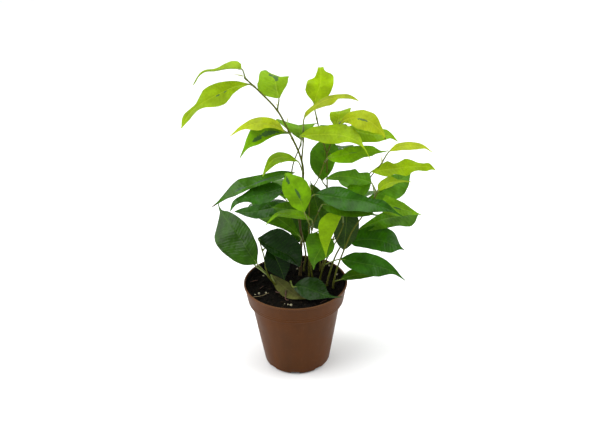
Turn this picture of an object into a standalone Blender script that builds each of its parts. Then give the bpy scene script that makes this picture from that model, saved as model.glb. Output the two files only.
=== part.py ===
# Weeping fig: a clump of rooted shoots in a nursery pot, filled with potting soil.
# The lists below are in millimetres, and the scene is in metres with +Z up.
# The origin is the middle of the pot's underside, and -Y is the side that faces the viewer.
import math
import random

import bmesh
import bpy
import numpy as np

MM = 0.001

POT_HEIGHT = 92.0
RIM_RADIUS = 52.5
RIM_WALL = 1.5
RIM_ROUNDING = 0.6
COLLAR_HEIGHT = 20.0
COLLAR_FOOT_RADIUS = 48.5
SHOULDER_RADIUS = 45.2
SHOULDER_DROP = 1.2
BODY_FOOT_RADIUS = 33.5
FOOT_CHAMFER = 2.2
POT_WALL = 1.3
POT_FLOOR = 1.8
POT_SEGMENTS = 36
DRAIN_COUNT = 8
DRAIN_WIDTH = 9.0
DRAIN_HEIGHT = 3.2
DRAIN_REACH = 7.0
DRAIN_FIRST_BEARING = -95.0
CUT_PAST = 3.0

SOIL_BELOW_RIM = 6.5
SOIL_EDGE_DROP = 1.0
SOIL_UNEVEN = 0.5
SOIL_SEED = 12
SOIL_RINGS = (13.0, 26.0, 38.0)
TOUCH_GAP = 0.35
ROOT_DEPTH = 12.5
ROOT_COLLAR = 4.0
ROOT_HOLE_GAP = 0.45
ROOT_HOLE_SIDES = 8

STEM_SIDES = 5
STEM_STEP = 22.0
PETIOLE_SIDES = 3
PETIOLE_RADIUS = (0.85, 0.75)
PETIOLE_RISE = 0.15
PETIOLE_LEFT_AT = 0.4
PETIOLE_LEVELS_AT = 0.2
PETIOLE_LEVEL_MOST = 4.0
PETIOLE_SINK = 2.5
BLADE_THICKNESS = 0.8
BLADE_STATIONS = 7
PLAIN_BLADE_STATIONS = 4
BLADE_STRIPS = 4
BLADE_END = 0.985
BLADE_LEAST_HALF = 0.5

POT_SHARP_ANGLE = 28.0
SOIL_SHARP_ANGLE = 50.0
FOLIAGE_SHARP_ANGLE = 40.0

POT_COLOUR = (0.27, 0.12, 0.065, 1.0)
SOIL_COLOUR = (0.018, 0.013, 0.010, 1.0)
OLD_GREEN = (0.030, 0.115, 0.022, 1.0)
MIDDLE_GREEN = (0.085, 0.235, 0.020, 1.0)
YOUNG_GREEN = (0.270, 0.440, 0.020, 1.0)

# Each shoot runs through these points, and thins from its first radius to its last. A shoot with a
# colour is rooted: its first point gives where it stands, and it goes straight down from there.
# The others branch off a rooted shoot of the same node.
SHOOTS = {
    "leader": dict(
        node="leafy_stem_leader", radius=(1.5, 0.75), colour=YOUNG_GREEN,
        route=[(5, 22, 92), (7, 22, 130), (6, 21, 150), (10, 18, 199), (8, 15, 223),
               (-2, 10, 251), (-13, 4, 277), (-28, 0, 297), (-42, -5, 314)]),
    "leader_twig": dict(
        node="leafy_stem_leader", radius=(0.8, 0.6),
        route=[(9, 15, 219), (11, 12, 243), (11, 10, 254)]),
    "back_left": dict(
        node="leafy_stem_back_left", radius=(1.0, 0.5), colour=MIDDLE_GREEN,
        route=[(9, 31, 92), (11, 31, 107), (5, 28, 146), (-1, 20, 186), (0, 18, 212), (9, 21, 235)]),
    "forked": dict(
        node="leafy_stem_forked", radius=(1.1, 0.65), colour=YOUNG_GREEN,
        route=[(26, 28, 92), (26, 30, 106), (32, 34, 152), (34, 34, 178), (34, 30, 220)]),
    "fork_left": dict(
        node="leafy_stem_forked", radius=(0.8, 0.65),
        route=[(34, 30, 219), (27, 24, 247), (24, 21, 262)]),
    "fork_right": dict(
        node="leafy_stem_forked", radius=(0.8, 0.65),
        route=[(34, 30, 219), (41, 24, 242), (45, 20, 252)]),
    "centre": dict(
        node="leafy_stem_centre", radius=(0.95, 0.5), colour=MIDDLE_GREEN,
        route=[(14, 18, 92), (14, 14, 106), (15, 2, 166), (17, -2, 193), (24, 0, 206), (32, 6, 224)]),
    "short": dict(
        node="leafy_stem_short", radius=(0.95, 0.5), colour=YOUNG_GREEN,
        route=[(18, 5, 92), (16, 2, 106), (17, -8, 153), (25, -7, 177)]),
    "low_right": dict(
        node="leafy_stem_low_right", radius=(0.95, 0.5), colour=MIDDLE_GREEN,
        route=[(25, 8, 92), (30, 4, 110), (38, -2, 131), (47, -13, 160), (47, -14, 168)]),
    "outer_right": dict(
        node="leafy_stem_outer_right", radius=(1.0, 0.5), colour=MIDDLE_GREEN,
        route=[(32, 0, 92), (40, 8, 113), (52, 16, 134), (56, 18, 154), (68, 12, 188),
               (76, 8, 204), (87, 3, 222)]),
    "inner_right": dict(
        node="leafy_stem_inner_right", radius=(1.0, 0.6), colour=MIDDLE_GREEN,
        route=[(38, -5, 92), (42, -4, 108), (50, -4, 132), (58, -4, 152), (75, -10, 183),
               (81, -16, 201)]),
    "left": dict(
        node="leafy_stem_left", radius=(1.0, 0.6), colour=OLD_GREEN,
        route=[(-20, -3, 92), (-28, -4, 103), (-31, -3, 124), (-35, -2, 142)]),
    "rear_left": dict(
        node="leafy_stem_rear_left", radius=(1.0, 0.5), colour=MIDDLE_GREEN,
        route=[(16, 40, 92), (14, 44, 106), (7, 50, 121), (0, 56, 139), (-4, 62, 153)]),
    "rear_right": dict(
        node="leafy_stem_rear_right", radius=(1.0, 0.5), colour=MIDDLE_GREEN,
        route=[(28, 34, 92), (36, 42, 108), (46, 48, 126), (52, 54, 146), (56, 62, 160)]),
    "sprout": dict(
        node="leafy_sprout_front", radius=(0.9, 0.8), colour=OLD_GREEN,
        route=[(-5, 3, 88), (-5, 2, 91)]),
}

# Each leaf leaves its shoot at the height "joins", and its midrib runs from base to tip, by the places
# in via where it has them, or else in one arch.
# face is the bearing (0 to the viewer, 90 to +X) and the height in degrees that its upper side turns to.
# edges are places along the blade, from 0 at the base to 1 at the tip, with the half width on the side
# that points down where the leaf points to +X, and on its other side. A leaf without them has the
# plain outline and the given width.
# fold lifts both halves in a V, twist turns the blade about its midrib, and wave, waves and phase
# ripple its edges.
LEAVES = [
    dict(shoot="leader", joins=313, base=(-44, -6, 323), via=[(-56, -8, 324), (-68, -10, 323),
         (-77, -9, 322), (-83, -10, 318), (-86, -10, 313)], tip=(-89, -9, 309), face=(0, 88),
         fold=25, twist=-30, edges=[(0, 5, 1), (0.03, 8, 4.5), (0.07, 9.5, 7), (0.16, 9.6, 8),
         (0.27, 7, 7.5), (0.38, 4.2, 6.5), (0.5, 3, 5.5), (0.65, 3, 4), (0.8, 2.2, 2.5),
         (0.92, 1.4, 1.4), (1, 0.3, 0.3)]),
    dict(shoot="leader", joins=304, base=(-38, -4, 307), via=[(-50, -6, 306), (-61, -11, 303),
         (-74, -15, 298), (-85, -17, 292), (-92, -18, 286), (-97, -20, 280)], tip=(-101, -24, 273),
         face=(-10, 48), fold=6, wave=0.8, waves=1.5, edges=[(0, 0.5, 0.5), (0.08, 3, 2.5),
         (0.17, 6, 5.5), (0.25, 8.8, 7), (0.31, 10.5, 10), (0.37, 11.5, 12.4), (0.44, 12.2, 12),
         (0.52, 11.5, 9.5), (0.59, 7, 6), (0.67, 2.8, 4.2), (0.76, 2.8, 4), (0.84, 4, 4),
         (0.9, 3.2, 3), (0.96, 1.2, 1.2), (1, 0.3, 0.3)]),
    dict(shoot="leader", joins=277, base=(-11, 5, 289), via=[(-13, 10, 295), (-14, 15, 301),
         (-16, 21, 305), (-18, 35, 302)], tip=(-20, 47, 294), face=(24, 42), fold=4,
         edges=[(0, 1, 2), (0.04, 2.5, 9), (0.09, 5, 15), (0.2, 9.5, 19), (0.32, 13, 18),
         (0.45, 15.5, 13.5), (0.58, 14, 9), (0.78, 8, 6), (0.92, 3, 3), (1, 0.3, 0.3)]),
    dict(shoot="leader", joins=251, base=(-7, 6, 255), via=[(-16, 8, 260), (-28, 10, 262),
         (-39, 8, 261), (-49, 8, 257), (-55, 8, 253)], tip=(-59, 8, 250), face=(-15, 72), fold=6,
         edges=[(0, 0.6, 0.6), (0.08, 3.5, 2), (0.18, 7, 4), (0.3, 8, 7), (0.43, 8, 12),
         (0.52, 7.6, 12.5), (0.6, 7, 8), (0.68, 5.5, 3.5), (0.78, 4, 2), (0.86, 2.2, 1.6),
         (1, 0.3, 0.3)]),
    dict(shoot="leader", joins=246, base=(-3, 8, 252), via=[(-13, 7, 252), (-23, 4, 251),
         (-32, 2, 248), (-40, 1, 244), (-45, 0, 239)], tip=(-50, -3, 232), face=(-10, 50), fold=22,
         edges=[(0, 0.5, 0.5), (0.12, 5, 1.2), (0.3, 11, 3), (0.5, 13, 6), (0.6, 12, 6),
         (0.7, 6.5, 4), (0.76, 3.6, 2.6), (0.84, 1.8, 1.6), (0.92, 1.1, 1.1), (1, 0.3, 0.3)]),
    dict(shoot="leader", joins=204, base=(5, 11, 221), via=[(-4, 11, 225), (-13, 10, 226),
         (-20, 6, 224), (-25, 1, 219)], tip=(-29, -7, 214), face=(-10, 60), fold=4,
         edges=[(0, 0.5, 0.5), (0.1, 2, 3), (0.2, 4, 4.5), (0.4, 6.3, 8), (0.55, 5.4, 7.5),
         (0.68, 3.2, 5.5), (0.8, 1.8, 3.4), (0.9, 1.1, 1.5), (1, 0.3, 0.3)]),
    dict(shoot="leader_twig", joins=242, base=(8, 7, 249), via=[(19, 5, 251), (32, 3, 252),
         (46, 2, 251), (55, 0, 249), (62, -3, 246), (68, -7, 241)], tip=(74, -13, 231),
         face=(8, 52), fold=0, wave=0.8, waves=2.0, edges=[(0, 0.5, 0.5), (0.06, 2.5, 4.5),
         (0.15, 6, 9), (0.32, 10, 9.8), (0.49, 9.6, 12), (0.615, 5.5, 10.8), (0.725, 3, 5.5),
         (0.78, 1.5, 1.5), (0.84, 0.5, 0.5), (1, 0.3, 0.3)]),
    dict(shoot="leader_twig", joins=253, base=(12, 1, 270), via=[(16, 4, 275), (24, 10, 279),
         (33, 15, 282), (45, 16, 284), (55, 15, 284)], tip=(64, 13, 281), face=(-20, 70), fold=8,
         wave=1.0, waves=2.0, edges=[(0, 0.5, 0.5), (0.08, 3, 2.2), (0.2, 4.5, 2.3), (0.35, 8, 2.6),
         (0.46, 11, 3.2), (0.55, 12, 4), (0.61, 9, 4.2), (0.66, 3, 4.2), (0.8, 2.8, 4.2),
         (0.9, 1.5, 2.2), (1, 0.3, 0.3)]),
    dict(shoot="leader", joins=122, base=(6, 18, 133), via=[(-6, 26, 142), (-19, 34, 149),
         (-32, 45, 154)], tip=(-45, 56, 157), face=(-10, 50), fold=4, edges=[(0, 0.5, 0.5),
         (0.1, 3, 3.5), (0.26, 8, 6), (0.5, 10, 11), (0.65, 10, 12.5), (0.76, 8, 11), (0.88, 4, 5),
         (0.95, 1, 1), (1, 0.3, 0.3)]),
    dict(shoot="back_left", joins=233, base=(9, 21, 239), via=[(8, 26, 244), (7, 34, 248),
         (6, 48, 242)], tip=(4, 64, 230), face=(10, 50), fold=10, edges=[(0, 0.5, 0.5), (0.1, 6, 7),
         (0.2, 12, 12), (0.35, 20, 23), (0.5, 19, 20), (0.7, 13, 13), (0.85, 5, 5), (0.93, 2, 2),
         (1, 0.3, 0.3)]),
    dict(shoot="back_left", joins=204, base=(1, 6, 211), via=[(-11, 4, 210), (-27, 0, 207),
         (-41, -1, 202), (-53, -1, 197), (-65, -1, 190)], tip=(-80, -5, 181), face=(-15, 50),
         fold=4, wave=0.6, waves=2.0, edges=[(0, 0.5, 0.5), (0.05, 2.5, 2.5), (0.14, 4.6, 4.2),
         (0.33, 6.2, 4.2), (0.43, 8.2, 3.8), (0.5, 9.3, 3.4), (0.6, 10.4, 4.4), (0.7, 8, 4.2),
         (0.8, 4.4, 2), (0.9, 1.5, 1.2), (1, 0.3, 0.3)]),
    dict(shoot="back_left", joins=186, base=(-10, 2, 197), via=[(-22, -1, 195), (-37, -4, 192),
         (-49, -4, 189), (-57, -5, 185)], tip=(-62, -7, 177), face=(-10, 50), fold=4,
         edges=[(0, 0.5, 0.5), (0.06, 6, 5.5), (0.14, 9, 8.5), (0.25, 10.5, 10.3), (0.38, 11, 10.8),
         (0.47, 10, 10), (0.6, 6, 5), (0.68, 4, 3.8), (0.835, 2.8, 2.6), (0.92, 1.3, 1.3),
         (1, 0.3, 0.3)]),
    dict(shoot="back_left", joins=163, base=(-6, 27, 163), via=[(-19, 24, 164), (-32, 22, 163),
         (-44, 23, 160), (-54, 26, 159)], tip=(-60, 27, 159), face=(-10, 55), fold=4,
         edges=[(0, 0.5, 0.5), (0.1, 4.5, 5), (0.22, 7, 8), (0.45, 8.5, 10), (0.6, 8, 9),
         (0.7, 7, 6), (0.83, 5.5, 3.2), (0.92, 3, 1.4), (1, 0.3, 0.3)]),
    dict(shoot="forked", joins=180, base=(29, 30, 190), via=[(30, 32, 198), (31, 36, 209),
         (33, 39, 221)], tip=(34, 38, 235), face=(0, 10), fold=4, edges=[(0, 0.5, 0.5),
         (0.06, 3, 4), (0.13, 6, 8), (0.25, 9.5, 12), (0.36, 11, 13.5), (0.55, 12.5, 14.8),
         (0.7, 13.5, 13), (0.82, 9, 9), (0.92, 3, 3), (1, 0.3, 0.3)]),
    dict(shoot="forked", joins=212, base=(38, 38, 216), tip=(62, 86, 193), width=24, arch=7,
         face=(170, 60)),
    dict(shoot="forked", joins=196, base=(30, 42, 200), tip=(27, 86, 177), width=22, arch=6,
         face=(180, 60)),
    dict(shoot="fork_left", joins=260, base=(22, 21, 276), via=[(25, 24, 285), (28, 27, 293),
         (29, 32, 301), (29, 37, 306)], tip=(29, 41, 304), face=(0, 25), fold=6, wave=1.2,
         waves=2.5, edges=[(0, 0.5, 0.5), (0.06, 3, 3.2), (0.15, 7.5, 8.8), (0.245, 11, 11.8),
         (0.42, 12, 12.8), (0.52, 12.6, 12.4), (0.57, 12.6, 11), (0.61, 12.6, 6.8),
         (0.67, 12.4, 5.1), (0.73, 10.5, 4.5), (0.77, 5, 3.8), (0.82, 3.4, 3.2), (0.9, 2.7, 2.6),
         (1, 2.2, 2)]),
    dict(shoot="fork_left", joins=238, base=(32, 36, 240), tip=(55, 78, 218), width=24, arch=7,
         face=(170, 60)),
    dict(shoot="fork_right", joins=240, base=(43, 24, 250), via=[(45, 29, 255), (47, 36, 261),
         (50, 49, 256)], tip=(54, 63, 246), face=(-25, 50), fold=4, edges=[(0, 0.5, 0.5),
         (0.06, 5, 4.5), (0.14, 9, 8), (0.24, 11, 9.3), (0.4, 11, 8.7), (0.6, 9.5, 7.5),
         (0.8, 5.5, 4.5), (0.92, 2, 1.5), (1, 0.3, 0.3)]),
    dict(shoot="fork_right", joins=250, base=(47, 18, 258), via=[(56, 17, 262), (65, 13, 263),
         (75, 9, 261), (81, 7, 256), (86, 5, 251)], tip=(89, 3, 245), face=(0, 50), fold=0,
         edges=[(0, 0.5, 0.5), (0.08, 3.5, 3.5), (0.18, 6.5, 6.5), (0.37, 11, 10), (0.57, 11, 9.5),
         (0.73, 7.5, 5.2), (0.82, 4, 3), (0.9, 1.6, 1.5), (1, 0.3, 0.3)]),
    dict(shoot="fork_right", joins=246, base=(55, 26, 249), via=[(66, 20, 246), (77, 16, 245),
         (88, 15, 244), (95, 16, 242)], tip=(102, 13, 238), face=(0, 50), fold=4,
         edges=[(0, 0.5, 0.5), (0.08, 3, 6), (0.2, 6, 10), (0.33, 11, 11), (0.47, 9.5, 10),
         (0.6, 8, 7.5), (0.68, 6, 6.5), (0.76, 4, 6.5), (0.83, 2.2, 3.4), (0.92, 1, 1.2),
         (1, 0.3, 0.3)]),
    dict(shoot="centre", joins=222, base=(34, 8, 225), via=[(44, 7, 227), (56, 8, 229),
         (67, 9, 230), (77, 10, 230), (85, 10, 229)], tip=(93, 12, 229), face=(0, 45), fold=6,
         wave=0.8, waves=2.5, edges=[(0, 0.5, 0.5), (0.05, 4, 3), (0.17, 7.5, 5.8), (0.37, 10, 6.8),
         (0.47, 8.6, 6.6), (0.57, 6.3, 6.4), (0.73, 5.2, 5.2), (0.8, 2.4, 2.8), (0.87, 1, 1.1),
         (1, 0.3, 0.3)]),
    dict(shoot="centre", joins=186, base=(21, -8, 194), via=[(35, -13, 194), (49, -17, 193),
         (62, -19, 192), (73, -21, 190), (84, -24, 187), (94, -26, 183)], tip=(105, -29, 178),
         face=(0, 55), fold=8, wave=0.6, waves=2.0, edges=[(0, 0.5, 0.5), (0.05, 3, 5),
         (0.16, 9, 10.8), (0.25, 11.8, 12.5), (0.325, 14, 11.2), (0.4, 13.4, 8.5),
         (0.467, 12.4, 6.3), (0.6, 11.8, 4.5), (0.68, 9.5, 6), (0.735, 6.5, 7), (0.8, 3, 5),
         (0.85, 1.3, 2.8), (0.92, 0.8, 1), (1, 0.3, 0.3)]),
    dict(shoot="centre", joins=160, base=(10, 2, 168), tip=(-22, 8, 173), width=16, arch=3,
         face=(0, 50)),
    dict(shoot="centre", joins=140, base=(28, 8, 147), tip=(17, 14, 198), width=27, arch=4,
         face=(0, 30)),
    dict(shoot="short", joins=155, base=(10, -19, 181), via=[(5, -13, 195), (-3, -7, 208),
         (-6, -2, 212)], tip=(-7, 0, 210), face=(0, 30), fold=5, edges=[(0, 0.5, 0.5), (0.08, 4, 5),
         (0.2, 9, 9.5), (0.36, 13, 11), (0.55, 14, 12), (0.7, 12, 10.5), (0.8, 8.5, 7.5),
         (0.89, 5, 3.6), (0.95, 2.5, 1.8), (1, 0.8, 0.8)]),
    dict(shoot="short", joins=158, base=(17, -14, 170), via=[(6, -13, 173), (-6, -10, 174),
         (-16, -8, 173), (-22, -10, 169)], tip=(-28, -13, 164), face=(-10, 75), fold=8,
         edges=[(0, 0.5, 0.5), (0.1, 4, 2.5), (0.24, 7, 5), (0.45, 6.5, 6), (0.6, 4.5, 4.5),
         (0.7, 2.4, 2.6), (0.82, 1.5, 1.6), (0.92, 0.8, 0.8), (1, 0.3, 0.3)]),
    dict(shoot="short", joins=143, base=(32, -12, 153), via=[(29, -18, 148), (24, -23, 140),
         (19, -26, 131)], tip=(18, -27, 121), face=(5, 25), fold=6, edges=[(0, 0.5, 0.5),
         (0.06, 6, 4.5), (0.14, 13, 9), (0.23, 17, 11.5), (0.36, 17, 12.5), (0.5, 15, 10.5),
         (0.62, 11, 7.5), (0.76, 5, 4), (0.86, 2, 1.7), (1, 0.3, 0.3)]),
    dict(shoot="short", joins=175, base=(28, -8, 183), tip=(80, -22, 177), width=20, arch=4,
         face=(0, 50)),
    dict(shoot="low_right", joins=166, base=(47, -16, 175), via=[(44, -18, 171), (41, -21, 165),
         (35, -26, 154), (32, -29, 146)], tip=(30, -31, 137), face=(48, 15), fold=-45,
         edges=[(0, 0.5, 0.5), (0.05, 8, 5), (0.12, 14, 8), (0.22, 16.5, 9), (0.34, 17.5, 9),
         (0.48, 16, 8), (0.62, 11.5, 6), (0.75, 6.5, 3.5), (0.88, 2.6, 1.5), (1, 0.3, 0.3)]),
    dict(shoot="low_right", joins=107, base=(46, -6, 120), via=[(57, -11, 120), (68, -15, 119),
         (80, -16, 117), (90, -17, 114), (99, -19, 110)], tip=(109, -23, 103), face=(0, 50), fold=4,
         edges=[(0, 0.5, 0.5), (0.05, 4, 4.5), (0.16, 8.2, 9.7), (0.34, 10.8, 12.3),
         (0.515, 11.8, 11), (0.6, 10.5, 9.5), (0.66, 8, 8), (0.74, 4.5, 5.5), (0.81, 2, 3.2),
         (0.9, 1, 1.1), (1, 0.3, 0.3)]),
    dict(shoot="outer_right", joins=158, base=(53, 10, 170), tip=(49, 7, 120), width=26, arch=3,
         face=(5, 25)),
    dict(shoot="outer_right", joins=220, base=(93, 3, 233), via=[(100, 1, 237), (110, 0, 239),
         (120, 1, 238), (127, 1, 236)], tip=(134, 1, 231), face=(0, 68), fold=6,
         edges=[(0, 0.5, 0.5), (0.06, 2.5, 2.2), (0.18, 5, 4.6), (0.42, 6.2, 4.8), (0.6, 5, 4.3),
         (0.7, 3.5, 3.6), (0.8, 1.4, 2), (0.9, 0.8, 0.8), (1, 0.3, 0.3)]),
    dict(shoot="outer_right", joins=198, base=(76, 4, 211), via=[(86, 3, 213), (98, 3, 214),
         (109, 4, 215), (121, 5, 215), (131, 5, 214)], tip=(138, 4, 211), face=(0, 48), fold=4,
         wave=1.4, waves=3.2, phase=0.7, edges=[(0, 0.5, 0.5), (0.08, 4, 3.4), (0.167, 6.5, 6),
         (0.26, 8, 8.3), (0.35, 6, 5.2), (0.44, 8, 6.2), (0.535, 9, 8.5), (0.63, 6, 6.7),
         (0.72, 4.8, 4.2), (0.81, 5, 3), (0.87, 4.8, 4.2), (0.95, 1.4, 1.5), (1, 0.3, 0.3)]),
    dict(shoot="outer_right", joins=138, base=(63, 13, 141), via=[(74, 15, 146), (87, 18, 150),
         (102, 22, 151), (115, 25, 150)], tip=(126, 28, 150), face=(5, 50), fold=5, wave=0.8,
         waves=2.0, edges=[(0, 0.5, 0.5), (0.08, 3, 2), (0.19, 7, 3.5), (0.42, 10.5, 6.5),
         (0.65, 11, 9), (0.75, 12, 8), (0.84, 12, 6), (0.92, 7.5, 3), (0.97, 2.5, 1),
         (1, 0.3, 0.3)]),
    dict(shoot="outer_right", joins=132, base=(56, 6, 133), via=[(66, 5, 135), (77, 4, 136),
         (89, 3, 134), (98, 2, 130), (104, 2, 127)], tip=(110, 2, 124), face=(5, 45), fold=0,
         edges=[(0, 1.5, 0.5), (0.05, 5.5, 5), (0.17, 7.6, 10.5), (0.39, 10.5, 14), (0.6, 11, 14.3),
         (0.7, 10, 13), (0.78, 8.5, 10.5), (0.85, 5, 6), (0.9, 2, 2.8), (0.95, 0.9, 1),
         (1, 0.3, 0.3)]),
    dict(shoot="inner_right", joins=199, base=(81, -17, 201), via=[(87, -16, 206), (93, -16, 209),
         (100, -15, 209), (106, -15, 209)], tip=(113, -15, 208), face=(-20, 60), fold=10, wave=1.5,
         waves=2.0, edges=[(0, 0.5, 0.5), (0.08, 3.2, 4.5), (0.22, 5.4, 7), (0.42, 5, 6),
         (0.55, 3, 3.6), (0.62, 2, 2.2), (0.75, 1.2, 1.6), (0.88, 0.7, 0.8), (1, 0.3, 0.3)]),
    dict(shoot="inner_right", joins=180, base=(69, -6, 184), via=[(81, -3, 189), (93, 3, 194),
         (105, 12, 197)], tip=(116, 21, 201), face=(10, 48), fold=4, edges=[(0, 0.5, 0.5),
         (0.08, 5, 2), (0.25, 10, 3.5), (0.5, 15, 8), (0.65, 13.5, 9), (0.8, 9, 7), (0.9, 4.5, 3.5),
         (1, 0.5, 0.5)]),
    dict(shoot="inner_right", joins=197, base=(75, -8, 205), via=[(66, -6, 208), (55, -4, 210),
         (45, -4, 211), (38, -4, 210)], tip=(31, -4, 208), face=(0, 50), fold=4, wave=0.8,
         waves=2.5, edges=[(0, 0.5, 0.5), (0.05, 5, 3), (0.12, 9, 5), (0.21, 7.5, 7), (0.3, 6, 7.5),
         (0.385, 9.5, 8.3), (0.47, 7, 8.2), (0.58, 5.8, 5.5), (0.69, 5.3, 4.8), (0.8, 3.8, 4.2),
         (0.88, 2.4, 2.6), (0.95, 1, 1), (1, 0.3, 0.3)]),
    dict(shoot="inner_right", joins=192, base=(75, -4, 203), via=[(67, -3, 200), (59, -3, 198)],
         tip=(52, -3, 198), face=(0, 40), fold=4, edges=[(0, 0.5, 0.5), (0.12, 3.5, 6),
         (0.3, 5.5, 9.5), (0.5, 6, 10.5), (0.7, 5, 8), (0.88, 3, 4), (1, 0.5, 0.5)]),
    dict(shoot="inner_right", joins=184, base=(72, -4, 183), via=[(84, -8, 184), (95, -12, 182),
         (105, -14, 179), (114, -15, 176)], tip=(123, -16, 173), face=(0, 50), fold=4,
         edges=[(0, 0.5, 0.5), (0.08, 4, 4), (0.22, 9, 8), (0.45, 11, 7.5), (0.64, 8.5, 6.5),
         (0.74, 5.5, 4.5), (0.83, 3.2, 2.7), (0.92, 1.2, 1), (1, 0.3, 0.3)]),
    dict(shoot="inner_right", joins=93, base=(46, -4, 95), via=[(55, -3, 98), (65, -2, 99),
         (77, -1, 98)], tip=(90, 0, 98), face=(0, 50), fold=4, edges=[(0, 0.5, 0.5), (0.08, 2.5, 3),
         (0.22, 4.5, 6), (0.45, 5, 8), (0.65, 3, 7), (0.8, 1.5, 4), (0.92, 0.8, 1.2),
         (1, 0.3, 0.3)]),
    dict(shoot="left", joins=102, base=(-38, -6, 117), via=[(-46, 0, 127), (-54, 9, 138),
         (-63, 19, 147), (-71, 30, 153), (-75, 37, 157)], tip=(-77, 43, 162), face=(-20, 35),
         fold=-3, edges=[(0, 0.5, 0.5), (0.05, 3.5, 8.5), (0.1, 7, 13), (0.19, 10, 18),
         (0.3, 12.5, 22), (0.41, 13.6, 24), (0.52, 13, 24.3), (0.6, 11.8, 23.3), (0.67, 10.3, 20.5),
         (0.73, 8.8, 13.5), (0.8, 6.4, 6), (0.86, 2, 1.2), (0.93, 0.7, 0.7), (1, 0.3, 0.3)]),
    dict(shoot="left", joins=141, base=(-36, -4, 145), via=[(-26, -10, 140), (-14, -14, 135),
         (-4, -16, 130)], tip=(5, -20, 120), face=(10, 45), fold=28, edges=[(0, 0.5, 0.5),
         (0.05, 2, 7), (0.12, 4, 14.5), (0.24, 6, 20), (0.37, 8, 21), (0.5, 8.5, 20.5),
         (0.62, 8.5, 18.5), (0.74, 8, 15), (0.85, 5, 9.5), (0.93, 2, 4), (1, 0.4, 0.4)]),
    dict(shoot="left", joins=130, base=(-26, 0, 134), via=[(-21, -6, 127), (-16, -11, 118),
         (-13, -14, 110)], tip=(-11, -16, 103), face=(5, 30), fold=6, edges=[(0, 0.5, 0.5),
         (0.1, 5, 6), (0.25, 10.5, 12), (0.45, 13, 14), (0.6, 12, 12), (0.75, 8.5, 8), (0.86, 4, 4),
         (0.94, 1.2, 1.5), (1, 0.3, 0.3)]),
    dict(shoot="left", joins=101, base=(-43, 14, 107), tip=(-59, 56, 124), width=20, arch=6,
         face=(200, 60)),
    dict(shoot="left", joins=112, base=(-23, 14, 128), tip=(-11, 56, 96), width=26, arch=7,
         face=(180, 60)),
    dict(shoot="left", joins=91, base=(-25, 14, 92), via=[(-18, 2, 91), (-10, -9, 89),
         (-1, -20, 88)], tip=(10, -28, 88), face=(0, 88), fold=-4, edges=[(0, 0.5, 0.5),
         (0.08, 3, 2.5), (0.2, 4.8, 5.5), (0.4, 8, 8.5), (0.6, 9.5, 8), (0.75, 8, 6.5),
         (0.88, 4, 4), (0.96, 1.3, 1.3), (1, 0.3, 0.3)]),
    dict(shoot="rear_left", joins=145, base=(-8, 60, 155), tip=(-58, 84, 154), width=24, arch=7,
         face=(200, 60)),
    dict(shoot="rear_left", joins=152, base=(-5, 66, 158), tip=(-25, 116, 147), width=26, arch=8,
         face=(180, 60)),
    dict(shoot="rear_left", joins=135, base=(-4, 58, 143), tip=(-51, 92, 129), width=26, arch=7,
         face=(200, 60)),
    dict(shoot="rear_left", joins=112, base=(8, 46, 111), tip=(3, 52, 151), width=21, arch=3,
         face=(0, 20)),
    dict(shoot="rear_right", joins=140, base=(59, 58, 149), tip=(109, 88, 140), width=26, arch=7,
         face=(160, 60)),
    dict(shoot="rear_right", joins=157, base=(57, 66, 163), tip=(68, 116, 142), width=26, arch=8,
         face=(180, 60)),
    dict(shoot="rear_right", joins=130, base=(55, 54, 136), tip=(109, 80, 109), width=28, arch=7,
         face=(150, 60)),
    dict(shoot="rear_right", joins=134, base=(48, 58, 139), tip=(31, 104, 123), width=26, arch=7,
         face=(190, 60)),
    dict(shoot="rear_right", joins=112, base=(46, 48, 116), tip=(94, 74, 80), width=26, arch=7,
         face=(150, 60)),
    dict(shoot="sprout", joins=90, base=(-2, -16, 95), via=[(8, -20, 97), (19, -25, 95),
         (29, -31, 94), (37, -35, 94)], tip=(46, -37, 95), face=(0, 62), fold=-4,
         edges=[(0, 0.5, 0.5), (0.06, 5, 6), (0.2, 10, 12.5), (0.33, 11.5, 15), (0.43, 11, 14.5),
         (0.54, 8, 11), (0.64, 4.7, 5.8), (0.72, 2.2, 2.4), (0.82, 1.1, 1.1), (1, 0.3, 0.3)]),
]

LEAF_HABIT = dict(arch=6.0, fold=8.0, wave=0.0, waves=2.0, phase=0.0, twist=0.0)
PLAIN_SHOULDER = 0.93
PLAIN_EARLY = 0.8
PLAIN_BLUNT = 0.75
PLAIN_TAIL = 0.75
PLAIN_TAIL_POWER = 0.9
PLAIN_TAIL_GROWS_TO = 0.45
EDGE_SAMPLES = np.linspace(-0.1, 1.1, 241)
EDGE_SOFTNESS = 15
OTHER_HALF_PHASE = 0.6 * math.pi
TWIST_STILL_AT = 0.3
RIPPLE_POWER = 1.4
MIDRIB_STEP = 1.0
MIDRIB_NUDGE = 0.03


def clear_scene():
    for item in list(bpy.data.objects):
        bpy.data.objects.remove(item, do_unlink=True)


def finish_material(name, colour, roughness):
    material = bpy.data.materials.new(name)
    material.use_nodes = True
    shader = material.node_tree.nodes["Principled BSDF"]
    shader.inputs["Base Color"].default_value = colour
    shader.inputs["Roughness"].default_value = roughness
    shader.inputs["Metallic"].default_value = 0.0
    return material


def mesh_object(name, points, faces, collection=None):
    # points are in millimetres; the solid is closed, triangulated and faces outward
    shape = bmesh.new()
    corners = [shape.verts.new([value * MM for value in point]) for point in points]
    for face in faces:
        shape.faces.new([corners[index] for index in face])
    bmesh.ops.recalc_face_normals(shape, faces=shape.faces)
    mesh = bpy.data.meshes.new(name)
    shape.to_mesh(mesh)
    shape.free()
    item = bpy.data.objects.new(name, mesh)
    (collection or bpy.context.scene.collection).objects.link(item)
    return item


def smooth_shading(item, angle_degrees):
    item.data.shade_smooth()
    item.data.set_sharp_from_angle(angle=math.radians(angle_degrees))


def unit(vector):
    return vector / max(np.linalg.norm(vector), 1e-9)


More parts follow.
